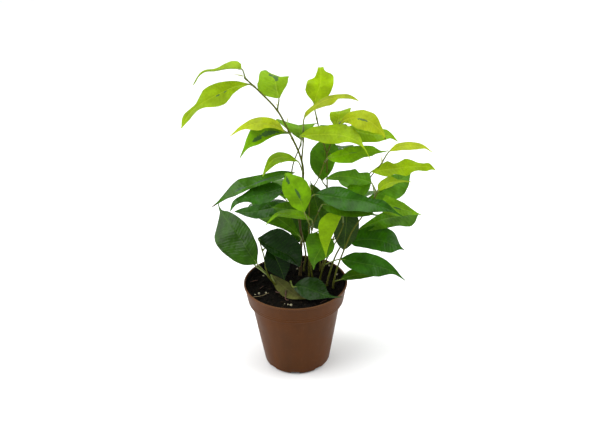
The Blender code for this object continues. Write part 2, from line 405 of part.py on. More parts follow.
def turned_solid(name, profile, segments):
    # profile runs from the axis round the section and back to the axis
    points = [(0.0, 0.0, profile[0][1])]
    for radius, height in profile[1:-1]:
        for step in range(segments):
            angle = 2.0 * math.pi * step / segments
            points.append((radius * math.cos(angle), radius * math.sin(angle), height))
    points.append((0.0, 0.0, profile[-1][1]))
    last = len(points) - 1
    rings = len(profile) - 2
    faces = []
    for step in range(segments):
        after = (step + 1) % segments
        faces.append((0, 1 + step, 1 + after))
        for ring in range(rings - 1):
            low = 1 + ring * segments
            high = low + segments
            faces.append((low + step, high + step, high + after, low + after))
        top = 1 + (rings - 1) * segments
        faces.append((last, top + after, top + step))
    return mesh_object(name, points, faces)


def inner_wall_radius(height):
    # radius of the pot's inner face at a height
    shoulder = POT_HEIGHT - COLLAR_HEIGHT
    collar_inner = COLLAR_FOOT_RADIUS - POT_WALL
    rim_inner = RIM_RADIUS - RIM_WALL
    if height >= shoulder:
        share = (height - shoulder) / COLLAR_HEIGHT
        return collar_inner + share * (rim_inner - collar_inner)
    ledge = shoulder - SHOULDER_DROP
    upper = SHOULDER_RADIUS - POT_WALL
    if height >= ledge:
        share = (height - ledge) / SHOULDER_DROP
        return upper + share * (collar_inner - upper)
    lower = BODY_FOOT_RADIUS - POT_WALL
    return lower + (height - POT_FLOOR) / (ledge - POT_FLOOR) * (upper - lower)


def combine(item, operands, operation):
    # applies one Boolean with a whole collection, exact where that gives a closed solid
    modifier = item.modifiers.new("combine", "BOOLEAN")
    modifier.operation = operation
    modifier.operand_type = "COLLECTION"
    modifier.collection = operands
    for solver in ("EXACT", "MANIFOLD"):
        modifier.solver = solver
        bpy.context.view_layer.update()
        view = bpy.context.evaluated_depsgraph_get()
        mesh = bpy.data.meshes.new_from_object(item.evaluated_get(view))
        shape = bmesh.new()
        shape.from_mesh(mesh)
        bmesh.ops.triangulate(shape, faces=shape.faces)
        closed = all(len(edge.link_faces) == 2 for edge in shape.edges)
        shape.to_mesh(mesh)
        shape.free()
        if closed:
            break
    item.modifiers.remove(modifier)
    item.data = mesh
    for piece in list(operands.objects):
        bpy.data.objects.remove(piece, do_unlink=True)
    bpy.data.collections.remove(operands)


def new_collection(name):
    collection = bpy.data.collections.new(name)
    bpy.context.scene.collection.children.link(collection)
    return collection


def build_pot():
    shoulder = POT_HEIGHT - COLLAR_HEIGHT
    ledge = shoulder - SHOULDER_DROP
    profile = [
        (0.0, 0.0),
        (BODY_FOOT_RADIUS - FOOT_CHAMFER, 0.0),
        (BODY_FOOT_RADIUS, FOOT_CHAMFER),
        (SHOULDER_RADIUS, ledge),
        (COLLAR_FOOT_RADIUS, shoulder),
        (RIM_RADIUS, POT_HEIGHT - RIM_ROUNDING),
        (RIM_RADIUS - RIM_ROUNDING, POT_HEIGHT),
        (RIM_RADIUS - RIM_WALL, POT_HEIGHT),
        (inner_wall_radius(shoulder), shoulder),
        (inner_wall_radius(ledge), ledge),
        (inner_wall_radius(POT_FLOOR), POT_FLOOR),
        (0.0, POT_FLOOR),
    ]
    pot = turned_solid("pot", profile, POT_SEGMENTS)
    cutters = new_collection("drain_cutters")
    for index in range(DRAIN_COUNT):
        bearing = math.radians(DRAIN_FIRST_BEARING + 360.0 * index / DRAIN_COUNT)
        outward = np.array([math.cos(bearing), math.sin(bearing), 0.0])
        sideways = np.array([-outward[1], outward[0], 0.0])
        corners = []
        square = ((-DRAIN_REACH, -0.5), (CUT_PAST, -0.5), (CUT_PAST, 0.5), (-DRAIN_REACH, 0.5))
        for height in (-CUT_PAST, DRAIN_HEIGHT):
            for reach, side in square:
                place = outward * (BODY_FOOT_RADIUS + reach) + sideways * side * DRAIN_WIDTH
                corners.append((place[0], place[1], height))
        faces = [(3, 2, 1, 0), (4, 5, 6, 7), (0, 1, 5, 4), (1, 2, 6, 5), (2, 3, 7, 6), (3, 0, 4, 7)]
        cutter = mesh_object("drain_cutter_%d" % index, corners, faces, cutters)
        cutter.hide_render = True
        cutter.display_type = "WIRE"
    combine(pot, cutters, "DIFFERENCE")
    smooth_shading(pot, POT_SHARP_ANGLE)
    pot.data.materials.append(finish_material("pot_plastic", POT_COLOUR, 0.5))


def build_soil():
    surface = POT_HEIGHT - SOIL_BELOW_RIM
    shoulder = POT_HEIGHT - COLLAR_HEIGHT
    ledge = shoulder - SHOULDER_DROP
    bottom = POT_FLOOR + TOUCH_GAP
    profile = [(0.0, bottom)]
    for height in (bottom, ledge, shoulder, surface - SOIL_EDGE_DROP):
        lift = TOUCH_GAP if height in (ledge, shoulder) else 0.0
        profile.append((inner_wall_radius(height) - TOUCH_GAP, height + lift))
    for radius in reversed(SOIL_RINGS):
        profile.append((radius, surface))
    profile.append((0.0, surface))
    soil = turned_solid("soil", profile, POT_SEGMENTS)
    draw = random.Random(SOIL_SEED)
    for vertex in soil.data.vertices:
        if vertex.co.z > (surface - SOIL_EDGE_DROP / 2) * MM:
            vertex.co.z += draw.uniform(-SOIL_UNEVEN, SOIL_UNEVEN) * MM
    cutters = new_collection("root_hole_cutters")
    for name, shoot in SHOOTS.items():
        if "colour" not in shoot:
            continue
        x, y, _ = shoot["route"][0]
        radius = shoot["radius"][0] + ROOT_HOLE_GAP
        points = []
        for height in (surface - ROOT_DEPTH - TOUCH_GAP, surface + CUT_PAST):
            for side in range(ROOT_HOLE_SIDES):
                angle = 2.0 * math.pi * side / ROOT_HOLE_SIDES
                points.append((x + radius * math.cos(angle), y + radius * math.sin(angle), height))
        faces = [tuple(reversed(range(ROOT_HOLE_SIDES)))]
        faces.append(tuple(range(ROOT_HOLE_SIDES, 2 * ROOT_HOLE_SIDES)))
        for side in range(ROOT_HOLE_SIDES):
            after = (side + 1) % ROOT_HOLE_SIDES
            faces.append((side, after, ROOT_HOLE_SIDES + after, ROOT_HOLE_SIDES + side))
        cutter = mesh_object("root_hole_" + name, points, faces, cutters)
        cutter.hide_render = True
        cutter.display_type = "WIRE"
    combine(soil, cutters, "DIFFERENCE")
    smooth_shading(soil, SOIL_SHARP_ANGLE)
    soil.data.materials.append(finish_material("potting_soil", SOIL_COLOUR, 0.95))


def curve_through(points, step):
    # a smooth curve that passes through every point, with a place about every step along it
    nodes = np.array(points, float)
    nodes = np.vstack([2 * nodes[0] - nodes[1], nodes, 2 * nodes[-1] - nodes[-2]])
    curve = [nodes[1]]
    for a, b, c, d in zip(nodes, nodes[1:], nodes[2:], nodes[3:]):
        count = max(round(np.linalg.norm(c - b) / step), 1)
        for t in np.linspace(0, 1, count + 1)[1:]:
            curve.append(0.5 * (2 * b + (c - a) * t + (2 * a - 5 * b + 4 * c - d) * t ** 2
                                + (3 * b - a - 3 * c + d) * t ** 3))
    return np.array(curve)


def tube_object(name, curve, radii, sides, collection=None):
    # a closed tube along the curve, whose rings keep the same twist
    tangents = np.gradient(curve, axis=0)
    side = unit(np.cross(tangents[0], (0.13, 1.0, 0.21)))
    points = []
    for centre, tangent, radius in zip(curve, tangents, radii):
        ahead = unit(tangent)
        side = unit(side - np.dot(side, ahead) * ahead)
        other = np.cross(ahead, side)
        for step in range(sides):
            angle = 2.0 * math.pi * step / sides
            points.append(centre + radius * (math.cos(angle) * side + math.sin(angle) * other))
    faces = [tuple(reversed(range(sides)))]
    for ring in range(len(curve) - 1):
        for step in range(sides):
            after = (step + 1) % sides
            low = ring * sides
            faces.append((low + step, low + after, low + sides + after, low + sides + step))
    faces.append(tuple(range(len(points) - sides, len(points))))
    return mesh_object(name, points, faces, collection)


def shoot_curve(shoot):
    route = list(shoot["route"])
    if "colour" in shoot:
        x, y, _ = route[0]
        surface = POT_HEIGHT - SOIL_BELOW_RIM
        buried = [(x, y, surface - ROOT_DEPTH), (x, y, surface), (x, y, surface + ROOT_COLLAR)]
        route = buried + route[1:]
    return curve_through(route, STEM_STEP)


def point_at_height(curve, height):
    # the place where a shoot passes a height, or its end
    for low, high in zip(curve, curve[1:]):
        if low[2] <= height <= high[2]:
            share = (height - low[2]) / max(high[2] - low[2], 1e-9)
            return low + share * (high - low)
    return curve[-1]


def plain_half(alongs, leaf):
    # half widths of an oval that runs out into a drip tip
    inner = np.clip(alongs / PLAIN_SHOULDER, 0, 1) ** PLAIN_EARLY
    body = (4 * inner * (1 - inner)) ** PLAIN_BLUNT
    tail = PLAIN_TAIL * (1 - alongs) ** PLAIN_TAIL_POWER * np.clip(alongs / PLAIN_TAIL_GROWS_TO, 0, 1)
    return leaf["width"] / 2 * (body ** 4 + tail ** 4) ** 0.25


def drawn_half(alongs, leaf, column):
    # half widths through the leaf's own edge points, softened between them
    table = np.array(leaf["edges"], float)
    soft = np.hanning(EDGE_SOFTNESS)
    straight = np.interp(EDGE_SAMPLES, table[:, 0], table[:, column])
    return np.interp(alongs, EDGE_SAMPLES, np.convolve(straight, soft / soft.sum(), "same"))


def half_widths(alongs, leaf):
    if "edges" in leaf:
        halves = [drawn_half(alongs, leaf, column) for column in (1, 2)]
    else:
        halves = [plain_half(alongs, leaf)] * 2
    return [np.maximum(half, BLADE_LEAST_HALF) for half in halves]


def facing_of(leaf):
    bearing, height = (math.radians(value) for value in leaf["face"])
    return np.array([math.sin(bearing) * math.cos(height), -math.cos(bearing) * math.cos(height),
                     math.sin(height)])


def midrib_points(alongs, leaf):
    base = np.array(leaf["base"], float)
    tip = np.array(leaf["tip"], float)
    if "via" in leaf:
        curve = curve_through([base, *leaf["via"], tip], MIDRIB_STEP)
    else:
        ahead = unit(tip - base)
        facing = facing_of(leaf)
        up = unit(facing - np.dot(facing, ahead) * ahead)
        share = np.linspace(0, 1, max(round(np.linalg.norm(tip - base) / MIDRIB_STEP), 2))
        curve = base + np.outer(share, tip - base) + np.outer(4 * share * (1 - share) * leaf["arch"], up)
    lengths = np.concatenate([[0.0], np.cumsum(np.linalg.norm(np.diff(curve, axis=0), axis=1))])
    wanted = np.clip(alongs, 0, 1) * lengths[-1]
    return np.stack([np.interp(wanted, lengths, curve[:, axis]) for axis in range(3)], axis=-1)


def blade_grid(leaf, stations, strips):
    # the blade's middle surface, as rows of points from base to tip
    facing = facing_of(leaf)
    fold = math.radians(leaf["fold"])
    alongs = np.linspace(0, BLADE_END, stations + 1)
    places = midrib_points(alongs, leaf)
    onward = midrib_points(alongs + MIDRIB_NUDGE, leaf) - midrib_points(alongs - MIDRIB_NUDGE, leaf)
    plus, minus = half_widths(alongs, leaf)
    widest = max(plus.max(), minus.max())
    rows = []
    for along, place, step, plus_half, minus_half in zip(alongs, places, onward, plus, minus):
        ahead = unit(step)
        normal = unit(facing - np.dot(facing, ahead) * ahead)
        across = np.cross(ahead, normal)
        turn = math.radians(leaf["twist"]) * (along - TWIST_STILL_AT)
        normal, across = (normal * math.cos(turn) - across * math.sin(turn),
                          across * math.cos(turn) + normal * math.sin(turn))
        row = []
        for side in np.linspace(-1, 1, strips + 1):
            half = plus_half if side > 0 else minus_half
            lag = 0.0 if side > 0 else OTHER_HALF_PHASE
            ripple = math.sin(2 * math.pi * leaf["waves"] * along + leaf["phase"] + lag)
            lift = abs(side) * half * math.sin(fold)
            lift += leaf["wave"] * half / widest * ripple * abs(side) ** RIPPLE_POWER
            row.append(place + across * side * half * math.cos(fold) + normal * lift)
        rows.append(row)
    return np.array(rows)


def blade_object(name, leaf, collection):
    # the middle surface thickened both ways, with the same triangles on both faces
    stations = BLADE_STATIONS if "edges" in leaf else PLAIN_BLADE_STATIONS
    middle = blade_grid(leaf, stations, BLADE_STRIPS)
    rows, columns = middle.shape[:2]
    normals = np.cross(np.gradient(middle, axis=1), np.gradient(middle, axis=0))
    normals /= np.linalg.norm(normals, axis=2)[:, :, None]
    upper = (middle + normals * BLADE_THICKNESS / 2).reshape(-1, 3)
    lower = (middle - normals * BLADE_THICKNESS / 2).reshape(-1, 3)
    count = rows * columns
    faces = []
    for row in range(rows - 1):
        for column in range(columns - 1):
            a = row * columns + column
            b, c, d = a + 1, a + columns + 1, a + columns
            pair = ((a, b, c), (a, c, d)) if column < columns // 2 else ((a, b, d), (b, c, d))
            for triangle in pair:
                faces.append(triangle)
                faces.append(tuple(count + index for index in reversed(triangle)))
    border = list(range(columns))
    border += [row * columns + columns - 1 for row in range(1, rows)]
    border += [(rows - 1) * columns + column for column in range(columns - 2, -1, -1)]
    border += [row * columns for row in range(rows - 2, 0, -1)]
    for first, second in zip(border, border[1:] + border[:1]):
        faces.append((first, second, count + second))
        faces.append((first, count + second, count + first))
    return mesh_object(name, np.vstack([upper, lower]), faces, collection)


def petiole_object(name, leaf, curve, collection):
    # the leaf stalk, from the shoot's axis into the blade's midrib
    root = point_at_height(curve, leaf["joins"])
    base, onward = midrib_points(np.array([0.0, MIDRIB_NUDGE]), leaf)
    ahead = unit(onward - base)
    reach = np.linalg.norm(base - root)
    rising = unit((1 - PETIOLE_RISE) * unit(base - root) + PETIOLE_RISE * np.array((0, 0, 1)))
    level = min(reach * PETIOLE_LEVELS_AT, PETIOLE_LEVEL_MOST)
    route = [root, root + rising * reach * PETIOLE_LEFT_AT, base - ahead * level,
             base + ahead * PETIOLE_SINK]
    path = curve_through(route, reach)
    radii = np.linspace(PETIOLE_RADIUS[0], PETIOLE_RADIUS[1], len(path))
    return tube_object(name, path, radii, PETIOLE_SIDES, collection)


def build_leafy_stem(node):
    own = {name: shoot for name, shoot in SHOOTS.items() if shoot["node"] == node}
    curves = {name: shoot_curve(shoot) for name, shoot in own.items()}
    pieces = new_collection(node + "_pieces")
    stem = None
    for name, shoot in own.items():
        radii = np.linspace(shoot["radius"][0], shoot["radius"][1], len(curves[name]))
        if "colour" in shoot:
            stem = tube_object(node, curves[name], radii, STEM_SIDES)
            colour = shoot["colour"]
        else:
            tube_object(node + "_" + name, curves[name], radii, STEM_SIDES, pieces)
    for index, given in enumerate(LEAVES):
        if given["shoot"] in own:
            leaf = {**LEAF_HABIT, **given}
            blade_object("%s_blade_%d" % (node, index), leaf, pieces)
            petiole_object("%s_petiole_%d" % (node, index), leaf, curves[given["shoot"]], pieces)
    combine(stem, pieces, "UNION")
    smooth_shading(stem, FOLIAGE_SHARP_ANGLE)
    stem.data.materials.append(finish_material(node + "_foliage", colour, 0.45))


def main():
    clear_scene()
    build_pot()
    build_soil()
    for shoot in SHOOTS.values():
        if "colour" in shoot:
            build_leafy_stem(shoot["node"])


main()
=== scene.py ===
# Weeping fig in its nursery pot: the looks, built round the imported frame
import math
import random

import bmesh
import bpy
import numpy as np
from mathutils import Matrix, Vector, noise


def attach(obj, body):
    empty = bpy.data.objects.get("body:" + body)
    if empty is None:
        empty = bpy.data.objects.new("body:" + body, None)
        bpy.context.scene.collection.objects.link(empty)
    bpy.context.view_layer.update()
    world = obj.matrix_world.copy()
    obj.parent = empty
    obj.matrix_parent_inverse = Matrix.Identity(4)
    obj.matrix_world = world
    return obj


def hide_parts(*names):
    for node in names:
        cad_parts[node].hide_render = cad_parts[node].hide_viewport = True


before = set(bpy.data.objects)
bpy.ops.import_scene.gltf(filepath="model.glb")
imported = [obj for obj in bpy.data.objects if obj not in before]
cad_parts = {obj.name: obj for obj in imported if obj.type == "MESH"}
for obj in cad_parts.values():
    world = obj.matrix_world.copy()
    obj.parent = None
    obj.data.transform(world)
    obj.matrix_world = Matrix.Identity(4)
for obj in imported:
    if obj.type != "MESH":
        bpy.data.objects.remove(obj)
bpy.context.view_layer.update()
mm = 0.001  # lengths below are in millimetres, as in the part
print("frame loaded:", len(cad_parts), "nodes")

cameraShot = {
    "place": (0.0, -937.9, 666.7),
    "turn": (61.82, 1.15, -0.98),   # degrees round X, Y and Z
    "focalPx": 1083.0,              # in pixels of the photograph
    "photoWidthPx": 600.0,
    "sensorWidth": 36.0,
}

studio = {
    "floorSize": 9000.0,
    "floorColour": (0.90, 0.90, 0.895, 1.0),
    "floorRoughness": 0.9,
    "worldColour": (0.97, 0.985, 1.0, 1.0),
    "worldStrength": 0.52,
    # place, aimed at, width, height, power in watts
    "softboxes": [
        ((-1300, -150, 850), (0, 0, 150), 1300, 1300, 21.0),
        ((1300, -100, 800), (0, 0, 150), 1300, 1300, 16.0),
        ((0, 400, 1600), (0, 0, 150), 1500, 1500, 22.0),
        ((-850, -800, 950), (0, 0, 150), 380, 380, 1.8),
    ],
}


def setUpStudio():
    shot = cameraShot
    camera = bpy.data.objects.new("photoCamera", bpy.data.cameras.new("photoCamera"))
    camera.location = [value * mm for value in shot["place"]]
    camera.rotation_euler = [math.radians(value) for value in shot["turn"]]
    camera.data.sensor_width = shot["sensorWidth"]
    camera.data.lens = shot["focalPx"] / shot["photoWidthPx"] * shot["sensorWidth"]
    bpy.context.scene.collection.objects.link(camera)
    bpy.context.scene.camera = camera
    half = studio["floorSize"] / 2 * mm
    mesh = bpy.data.meshes.new("floor")
    corners = [(-half, -half, 0), (half, -half, 0), (half, half, 0), (-half, half, 0)]
    mesh.from_pydata(corners, [], [(0, 1, 2, 3)])
    floor = bpy.data.objects.new("floor", mesh)
    bpy.context.scene.collection.objects.link(floor)
    material = bpy.data.materials.new("palePaper")
    material.use_nodes = True
    shader = material.node_tree.nodes["Principled BSDF"]
    shader.inputs["Base Color"].default_value = studio["floorColour"]
    shader.inputs["Roughness"].default_value = studio["floorRoughness"]
    mesh.materials.append(material)
    for number, (place, target, width, height, power) in enumerate(studio["softboxes"]):
        light = bpy.data.lights.new("softbox%d" % number, "AREA")
        light.shape = "RECTANGLE"
        light.size = width * mm
        light.size_y = height * mm
        light.energy = power
        box = bpy.data.objects.new("softbox%d" % number, light)
        box.location = [value * mm for value in place]
        aim = Vector(target) - Vector(place)
        box.rotation_euler = aim.to_track_quat("-Z", "Y").to_euler()
        bpy.context.scene.collection.objects.link(box)
    world = bpy.data.worlds.new("studioWorld")
    world.use_nodes = True
    world.node_tree.nodes["Background"].inputs["Color"].default_value = studio["worldColour"]
    world.node_tree.nodes["Background"].inputs["Strength"].default_value = studio["worldStrength"]
    bpy.context.scene.world = world
    bpy.context.scene.view_settings.view_transform = "Standard"


setUpStudio()
print("studio set up")


def unit(vector):
    return vector / max(np.linalg.norm(vector), 1e-9)


def unitRows(rows):
    return rows / np.maximum(np.linalg.norm(rows, axis=-1), 1e-9)[..., None]


def lengthsAlong(curve):
    # how far each point of a curve is from its start
    steps = np.linalg.norm(np.diff(curve, axis=0), axis=1)
    return np.concatenate([[0.0], np.cumsum(steps)])


def curveThrough(points, step):
    # a smooth curve that passes through every point
    knots = np.array(points, float)
    knots = np.vstack([2 * knots[0] - knots[1], knots, 2 * knots[-1] - knots[-2]])
    curve = [knots[1]]
    for a, b, c, d in zip(knots, knots[1:], knots[2:], knots[3:]):
        count = max(round(np.linalg.norm(c - b) / step), 1)
        for t in np.linspace(0, 1, count + 1)[1:]:
            curve.append(0.5 * (2 * b + (c - a) * t + (2 * a - 5 * b + 4 * c - d) * t ** 2
                                + (3 * b - a - 3 * c + d) * t ** 3))
    return np.array(curve)


def newPile():
    # the meshes that become one piece
    return {"points": [], "faces": [], "slots": [], "marks": {}, "count": 0}


def addToPile(pile, points, faces, slot=0, **marks):
    # marks are up to three numbers for the materials to read, for each point or once for all
    points = np.asarray(points, float).reshape(-1, 3)
    start = pile["count"]
    pile["points"].append(points)
    pile["faces"].extend([tuple(index + start for index in face) for face in faces])
    pile["slots"].extend([slot] * len(faces))
    for name, values in marks.items():
        pile["marks"].setdefault(name, []).append(np.broadcast_to(values, (len(points), 3)))
    pile["count"] += len(points)


def makePiece(name, pile, materials, replaced=(), sharpAngle=60.0):
    mesh = bpy.data.meshes.new(name)
    mesh.from_pydata((np.vstack(pile["points"]) * mm).tolist(), [], pile["faces"])
    for material in materials:
        mesh.materials.append(material)
    mesh.polygons.foreach_set("material_index", pile["slots"])
    for markName, chunks in pile["marks"].items():
        layer = mesh.attributes.new(markName, "FLOAT_VECTOR", "POINT")
        layer.data.foreach_set("vector", np.vstack(chunks).astype(np.float32).ravel())
    shape = bmesh.new()
    shape.from_mesh(mesh)
    bmesh.ops.recalc_face_normals(shape, faces=shape.faces)
    shape.to_mesh(mesh)
    shape.free()
    mesh.shade_smooth()
    mesh.set_sharp_from_angle(angle=math.radians(sharpAngle))
    piece = bpy.data.objects.new(name, mesh)
    bpy.context.scene.collection.objects.link(piece)
    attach(piece, "root")
    if replaced:
        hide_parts(*replaced)
    return piece


def tubeMesh(curve, radii, sides):
    # points and faces of a closed tube, whose rings keep the same twist
    tangents = unitRows(np.gradient(curve, axis=0))
    side = unit(np.cross(tangents[0], (0.13, 1.0, 0.21)))
    angles = 2.0 * math.pi * np.arange(sides) / sides
    rings = []
    for centre, ahead, radius in zip(curve, tangents, radii):
        side = unit(side - np.dot(side, ahead) * ahead)
        other = np.cross(ahead, side)
        rings.append(centre + radius * (np.outer(np.cos(angles), side) + np.outer(np.sin(angles), other)))
    faces = [tuple(range(sides))[::-1]]
    for ring in range(len(curve) - 1):
        for step in range(sides):
            after = (step + 1) % sides
            low = ring * sides
            faces.append((low + step, low + after, low + sides + after, low + sides + step))
    last = (len(curve) - 1) * sides
    faces.append(tuple(range(last, last + sides)))
    return np.vstack(rings), faces


def newNode(tree, kind, inputs=None, **settings):
    # inputs are sockets to link, or plain values
    node = tree.nodes.new(kind)
    for name, value in settings.items():
        setattr(node, name, value)
    for name, value in (inputs or {}).items():
        if isinstance(value, bpy.types.NodeSocket):
            tree.links.new(value, node.inputs[name])
        else:
            node.inputs[name].default_value = value
    return node


def maths(tree, operation, *values):
    node = newNode(tree, "ShaderNodeMath", dict(enumerate(values)), operation=operation)
    return node.outputs[0]


def stepBetween(tree, value, low, high, outLow=0.0, outHigh=1.0):
    node = newNode(tree, "ShaderNodeMapRange", {"Value": value, "From Min": low, "From Max": high,
                   "To Min": outLow, "To Max": outHigh}, interpolation_type="SMOOTHSTEP")
    return node.outputs["Result"]


def mixColours(tree, share, first, second, blend="MIX"):
    # sockets 0, 6 and 7 of a colour mix are its factor, A and B
    node = newNode(tree, "ShaderNodeMix", {0: share, 6: first, 7: second}, data_type="RGBA", blend_type=blend)
    return node.outputs[2]


def tint(tree, base, shade):
    # the base multiplied by a shade or a colour
    return mixColours(tree, 1.0, base, shade, "MULTIPLY")


def cloud(tree, vector, scale, detail=3.0, roughness=0.55):
    node = newNode(tree, "ShaderNodeTexNoise", {"Vector": vector, "Scale": scale, "Detail": detail,
                   "Roughness": roughness})
    return node.outputs["Fac"]


def markOf(tree, name):
    # a mark, and its three numbers
    node = newNode(tree, "ShaderNodeAttribute", attribute_name=name)
    parts = newNode(tree, "ShaderNodeSeparateXYZ", {"Vector": node.outputs["Vector"]})
    return node.outputs["Vector"], parts.outputs[0], parts.outputs[1], parts.outputs[2]


def bumpOf(tree, height, distance, strength=1.0):
    inputs = {"Height": height, "Distance": distance * mm, "Strength": strength}
    return newNode(tree, "ShaderNodeBump", inputs).outputs["Normal"]


def colour(red, green, blue):
    return (red, green, blue, 1.0)


def newMaterial(name):
    material = bpy.data.materials.new(name)
    material.use_nodes = True
    tree = material.node_tree
    place = newNode(tree, "ShaderNodeTexCoord").outputs["Object"]
    return material, tree, tree.nodes["Principled BSDF"], place


leafFinishes = {
    "young": {"rib": (0.48, 0.58, 0.06), "ribShare": 0.40, "veinShare": 0.10, "under": (0.30, 0.42, 0.05),
              "underShare": 0.35, "splash": (0.045, 0.125, 0.045), "roughness": (0.36, 0.48), "gloss": 0.15,
              "glow": 0.30, "specks": 0.10, "mottle": (0.86, 1.14)},
    "middle": {"rib": (0.22, 0.36, 0.03), "ribShare": 0.45, "veinShare": 0.18, "under": (0.16, 0.30, 0.05),
               "underShare": 0.45, "splash": (0.030, 0.085, 0.030), "roughness": (0.30, 0.42), "gloss": 0.15,
               "glow": 0.25, "specks": 0.20, "mottle": (0.72, 1.28)},
    "old": {"rib": (0.09, 0.20, 0.02), "ribShare": 0.42, "veinShare": 0.15, "under": (0.08, 0.18, 0.05),
            "underShare": 0.50, "splash": (0.050, 0.095, 0.050), "roughness": (0.18, 0.28), "gloss": 0.17,
            "glow": 0.16, "specks": 0.40, "mottle": (0.70, 1.35)},
    "withered": {"rib": (0.16, 0.15, 0.07), "ribShare": 0.55, "veinShare": 0.40, "under": (0.12, 0.11, 0.06),
                 "underShare": 0.4, "splash": (0.05, 0.035, 0.018), "roughness": (0.55, 0.75), "gloss": 0.10,
                 "glow": 0.10, "specks": 0.9, "mottle": (0.60, 1.40)},
}
# in mm: between side veins and between fine veins, the half width of the rib, how far a vein wanders;
# a side vein runs on by slant for each mm that it goes out
veinRun = {"gap": 3.3, "fine": 1.15, "ribHalf": 0.42, "wander": 2.6, "slant": 0.52}
leafSkin = {
    # noise scales, per metre
    "patches": 70.0, "mottle": 420.0, "specks": 900.0, "glossPatches": 130.0, "dents": 95.0,
    "dry": (0.060, 0.032, 0.014), "speck": (0.35, 0.42, 0.20),
    "ribGain": (2.0, 1.6, 2.0), "glowGain": (2.2, 1.8, 0.5),   # these multiply the leaf's own colour
    "splashShare": 0.80, "fineVeinShare": 0.45, "speckShare": 0.35, "underRougher": 0.2,
    "dentHigh": 1.6, "veinHigh": -0.05, "mottleHigh": 0.07,     # relief in mm
}


def leafMaterial(name, finish):
    # marks: tone is the leaf's own colour, run is mm along and across the blade and a seed,
    # spot is the splash (1 in its middle), the browning, and 1 on the upper side
    look = leafSkin
    material, tree, shader, place = newMaterial(name)
    tone, _, _, _ = markOf(tree, "tone")
    run, along, across, _ = markOf(tree, "run")
    _, splash, brown, upper = markOf(tree, "spot")
    away = maths(tree, "ABSOLUTE", across)
    broad = cloud(tree, place, look["patches"], 2.0)
    fine = cloud(tree, place, look["mottle"], 4.0)
    drift = maths(tree, "SUBTRACT", cloud(tree, run, 0.16, 2.0), 0.5)
    wander = maths(tree, "MULTIPLY", drift, veinRun["wander"])

    lane = maths(tree, "SUBTRACT", along, maths(tree, "MULTIPLY", away, veinRun["slant"]))
    lane = maths(tree, "ADD", lane, wander)
    side = maths(tree, "PINGPONG", lane, veinRun["gap"] / 2)
    vein = stepBetween(tree, side, 0.30, 0.0)
    fineVein = stepBetween(tree, maths(tree, "PINGPONG", lane, veinRun["fine"] / 2), 0.22, 0.0)
    rib = stepBetween(tree, away, veinRun["ribHalf"], veinRun["ribHalf"] * 0.35)

    base = tint(tree, tone, stepBetween(tree, broad, 0.3, 0.7, *finish["mottle"]))
    base = tint(tree, base, stepBetween(tree, fine, 0.25, 0.75, 0.92, 1.08))
    ribColour = mixColours(tree, 0.5, tint(tree, tone, colour(*look["ribGain"])), colour(*finish["rib"]))
    base = mixColours(tree, maths(tree, "MULTIPLY", vein, finish["veinShare"]), base, ribColour)
    fineShare = finish["veinShare"] * look["fineVeinShare"]
    base = mixColours(tree, maths(tree, "MULTIPLY", fineVein, fineShare), base, ribColour)
    base = mixColours(tree, maths(tree, "MULTIPLY", rib, finish["ribShare"]), base, ribColour)

    # the ragged dark splashes along some midribs
    torn = maths(tree, "MULTIPLY", maths(tree, "SUBTRACT", cloud(tree, run, 0.5, 3.0), 0.5), 1.1)
    splashed = stepBetween(tree, maths(tree, "ADD", splash, torn), 0.30, 0.42, 0.0, look["splashShare"])
    base = mixColours(tree, splashed, base, colour(*finish["splash"]))

    # dry tips and small blemishes
    dry = stepBetween(tree, maths(tree, "ADD", brown, torn), 0.35, 0.60)
    base = mixColours(tree, dry, base, colour(*look["dry"]))
    speck = stepBetween(tree, cloud(tree, place, look["specks"], 2.0), 0.72, 0.80)
    speckShare = finish["specks"] * look["speckShare"]
    base = mixColours(tree, maths(tree, "MULTIPLY", speck, speckShare), base, colour(*look["speck"]))
    under = mixColours(tree, finish["underShare"], base, colour(*finish["under"]))
    base = mixColours(tree, upper, under, base)
    tree.links.new(base, shader.inputs["Base Color"])

    low, high = finish["roughness"]
    rough = stepBetween(tree, cloud(tree, place, look["glossPatches"], 3.0), 0.3, 0.7, low, high)
    lowerSide = maths(tree, "SUBTRACT", 1.0, upper)
    rough = maths(tree, "ADD", rough, maths(tree, "MULTIPLY", lowerSide, look["underRougher"]))
    tree.links.new(rough, shader.inputs["Roughness"])
    shader.inputs["Specular IOR Level"].default_value = finish["gloss"]

    # shallow dents that break up the gloss, the side veins, and a fine grain
    relief = maths(tree, "MULTIPLY", cloud(tree, place, look["dents"], 1.0), look["dentHigh"])
    relief = maths(tree, "ADD", relief, maths(tree, "MULTIPLY", side, look["veinHigh"]))
    relief = maths(tree, "ADD", relief, maths(tree, "MULTIPLY", fine, look["mottleHigh"]))
    normal = bumpOf(tree, relief, 1.0)
    tree.links.new(normal, shader.inputs["Normal"])

    # light passes through the blade, yellower than it came
    through = mixColours(tree, 0.5, base, tint(tree, base, colour(*look["glowGain"])))
    glow = newNode(tree, "ShaderNodeBsdfTranslucent", {"Color": through, "Normal": normal})
    both = newNode(tree, "ShaderNodeMixShader", {0: finish["glow"], 1: shader.outputs[0], 2: glow.outputs[0]})
    tree.links.new(both.outputs[0], tree.nodes["Material Output"].inputs["Surface"])
    return material


leafMaterials = {name: leafMaterial(name + "Leaf", finish) for name, finish in leafFinishes.items()}

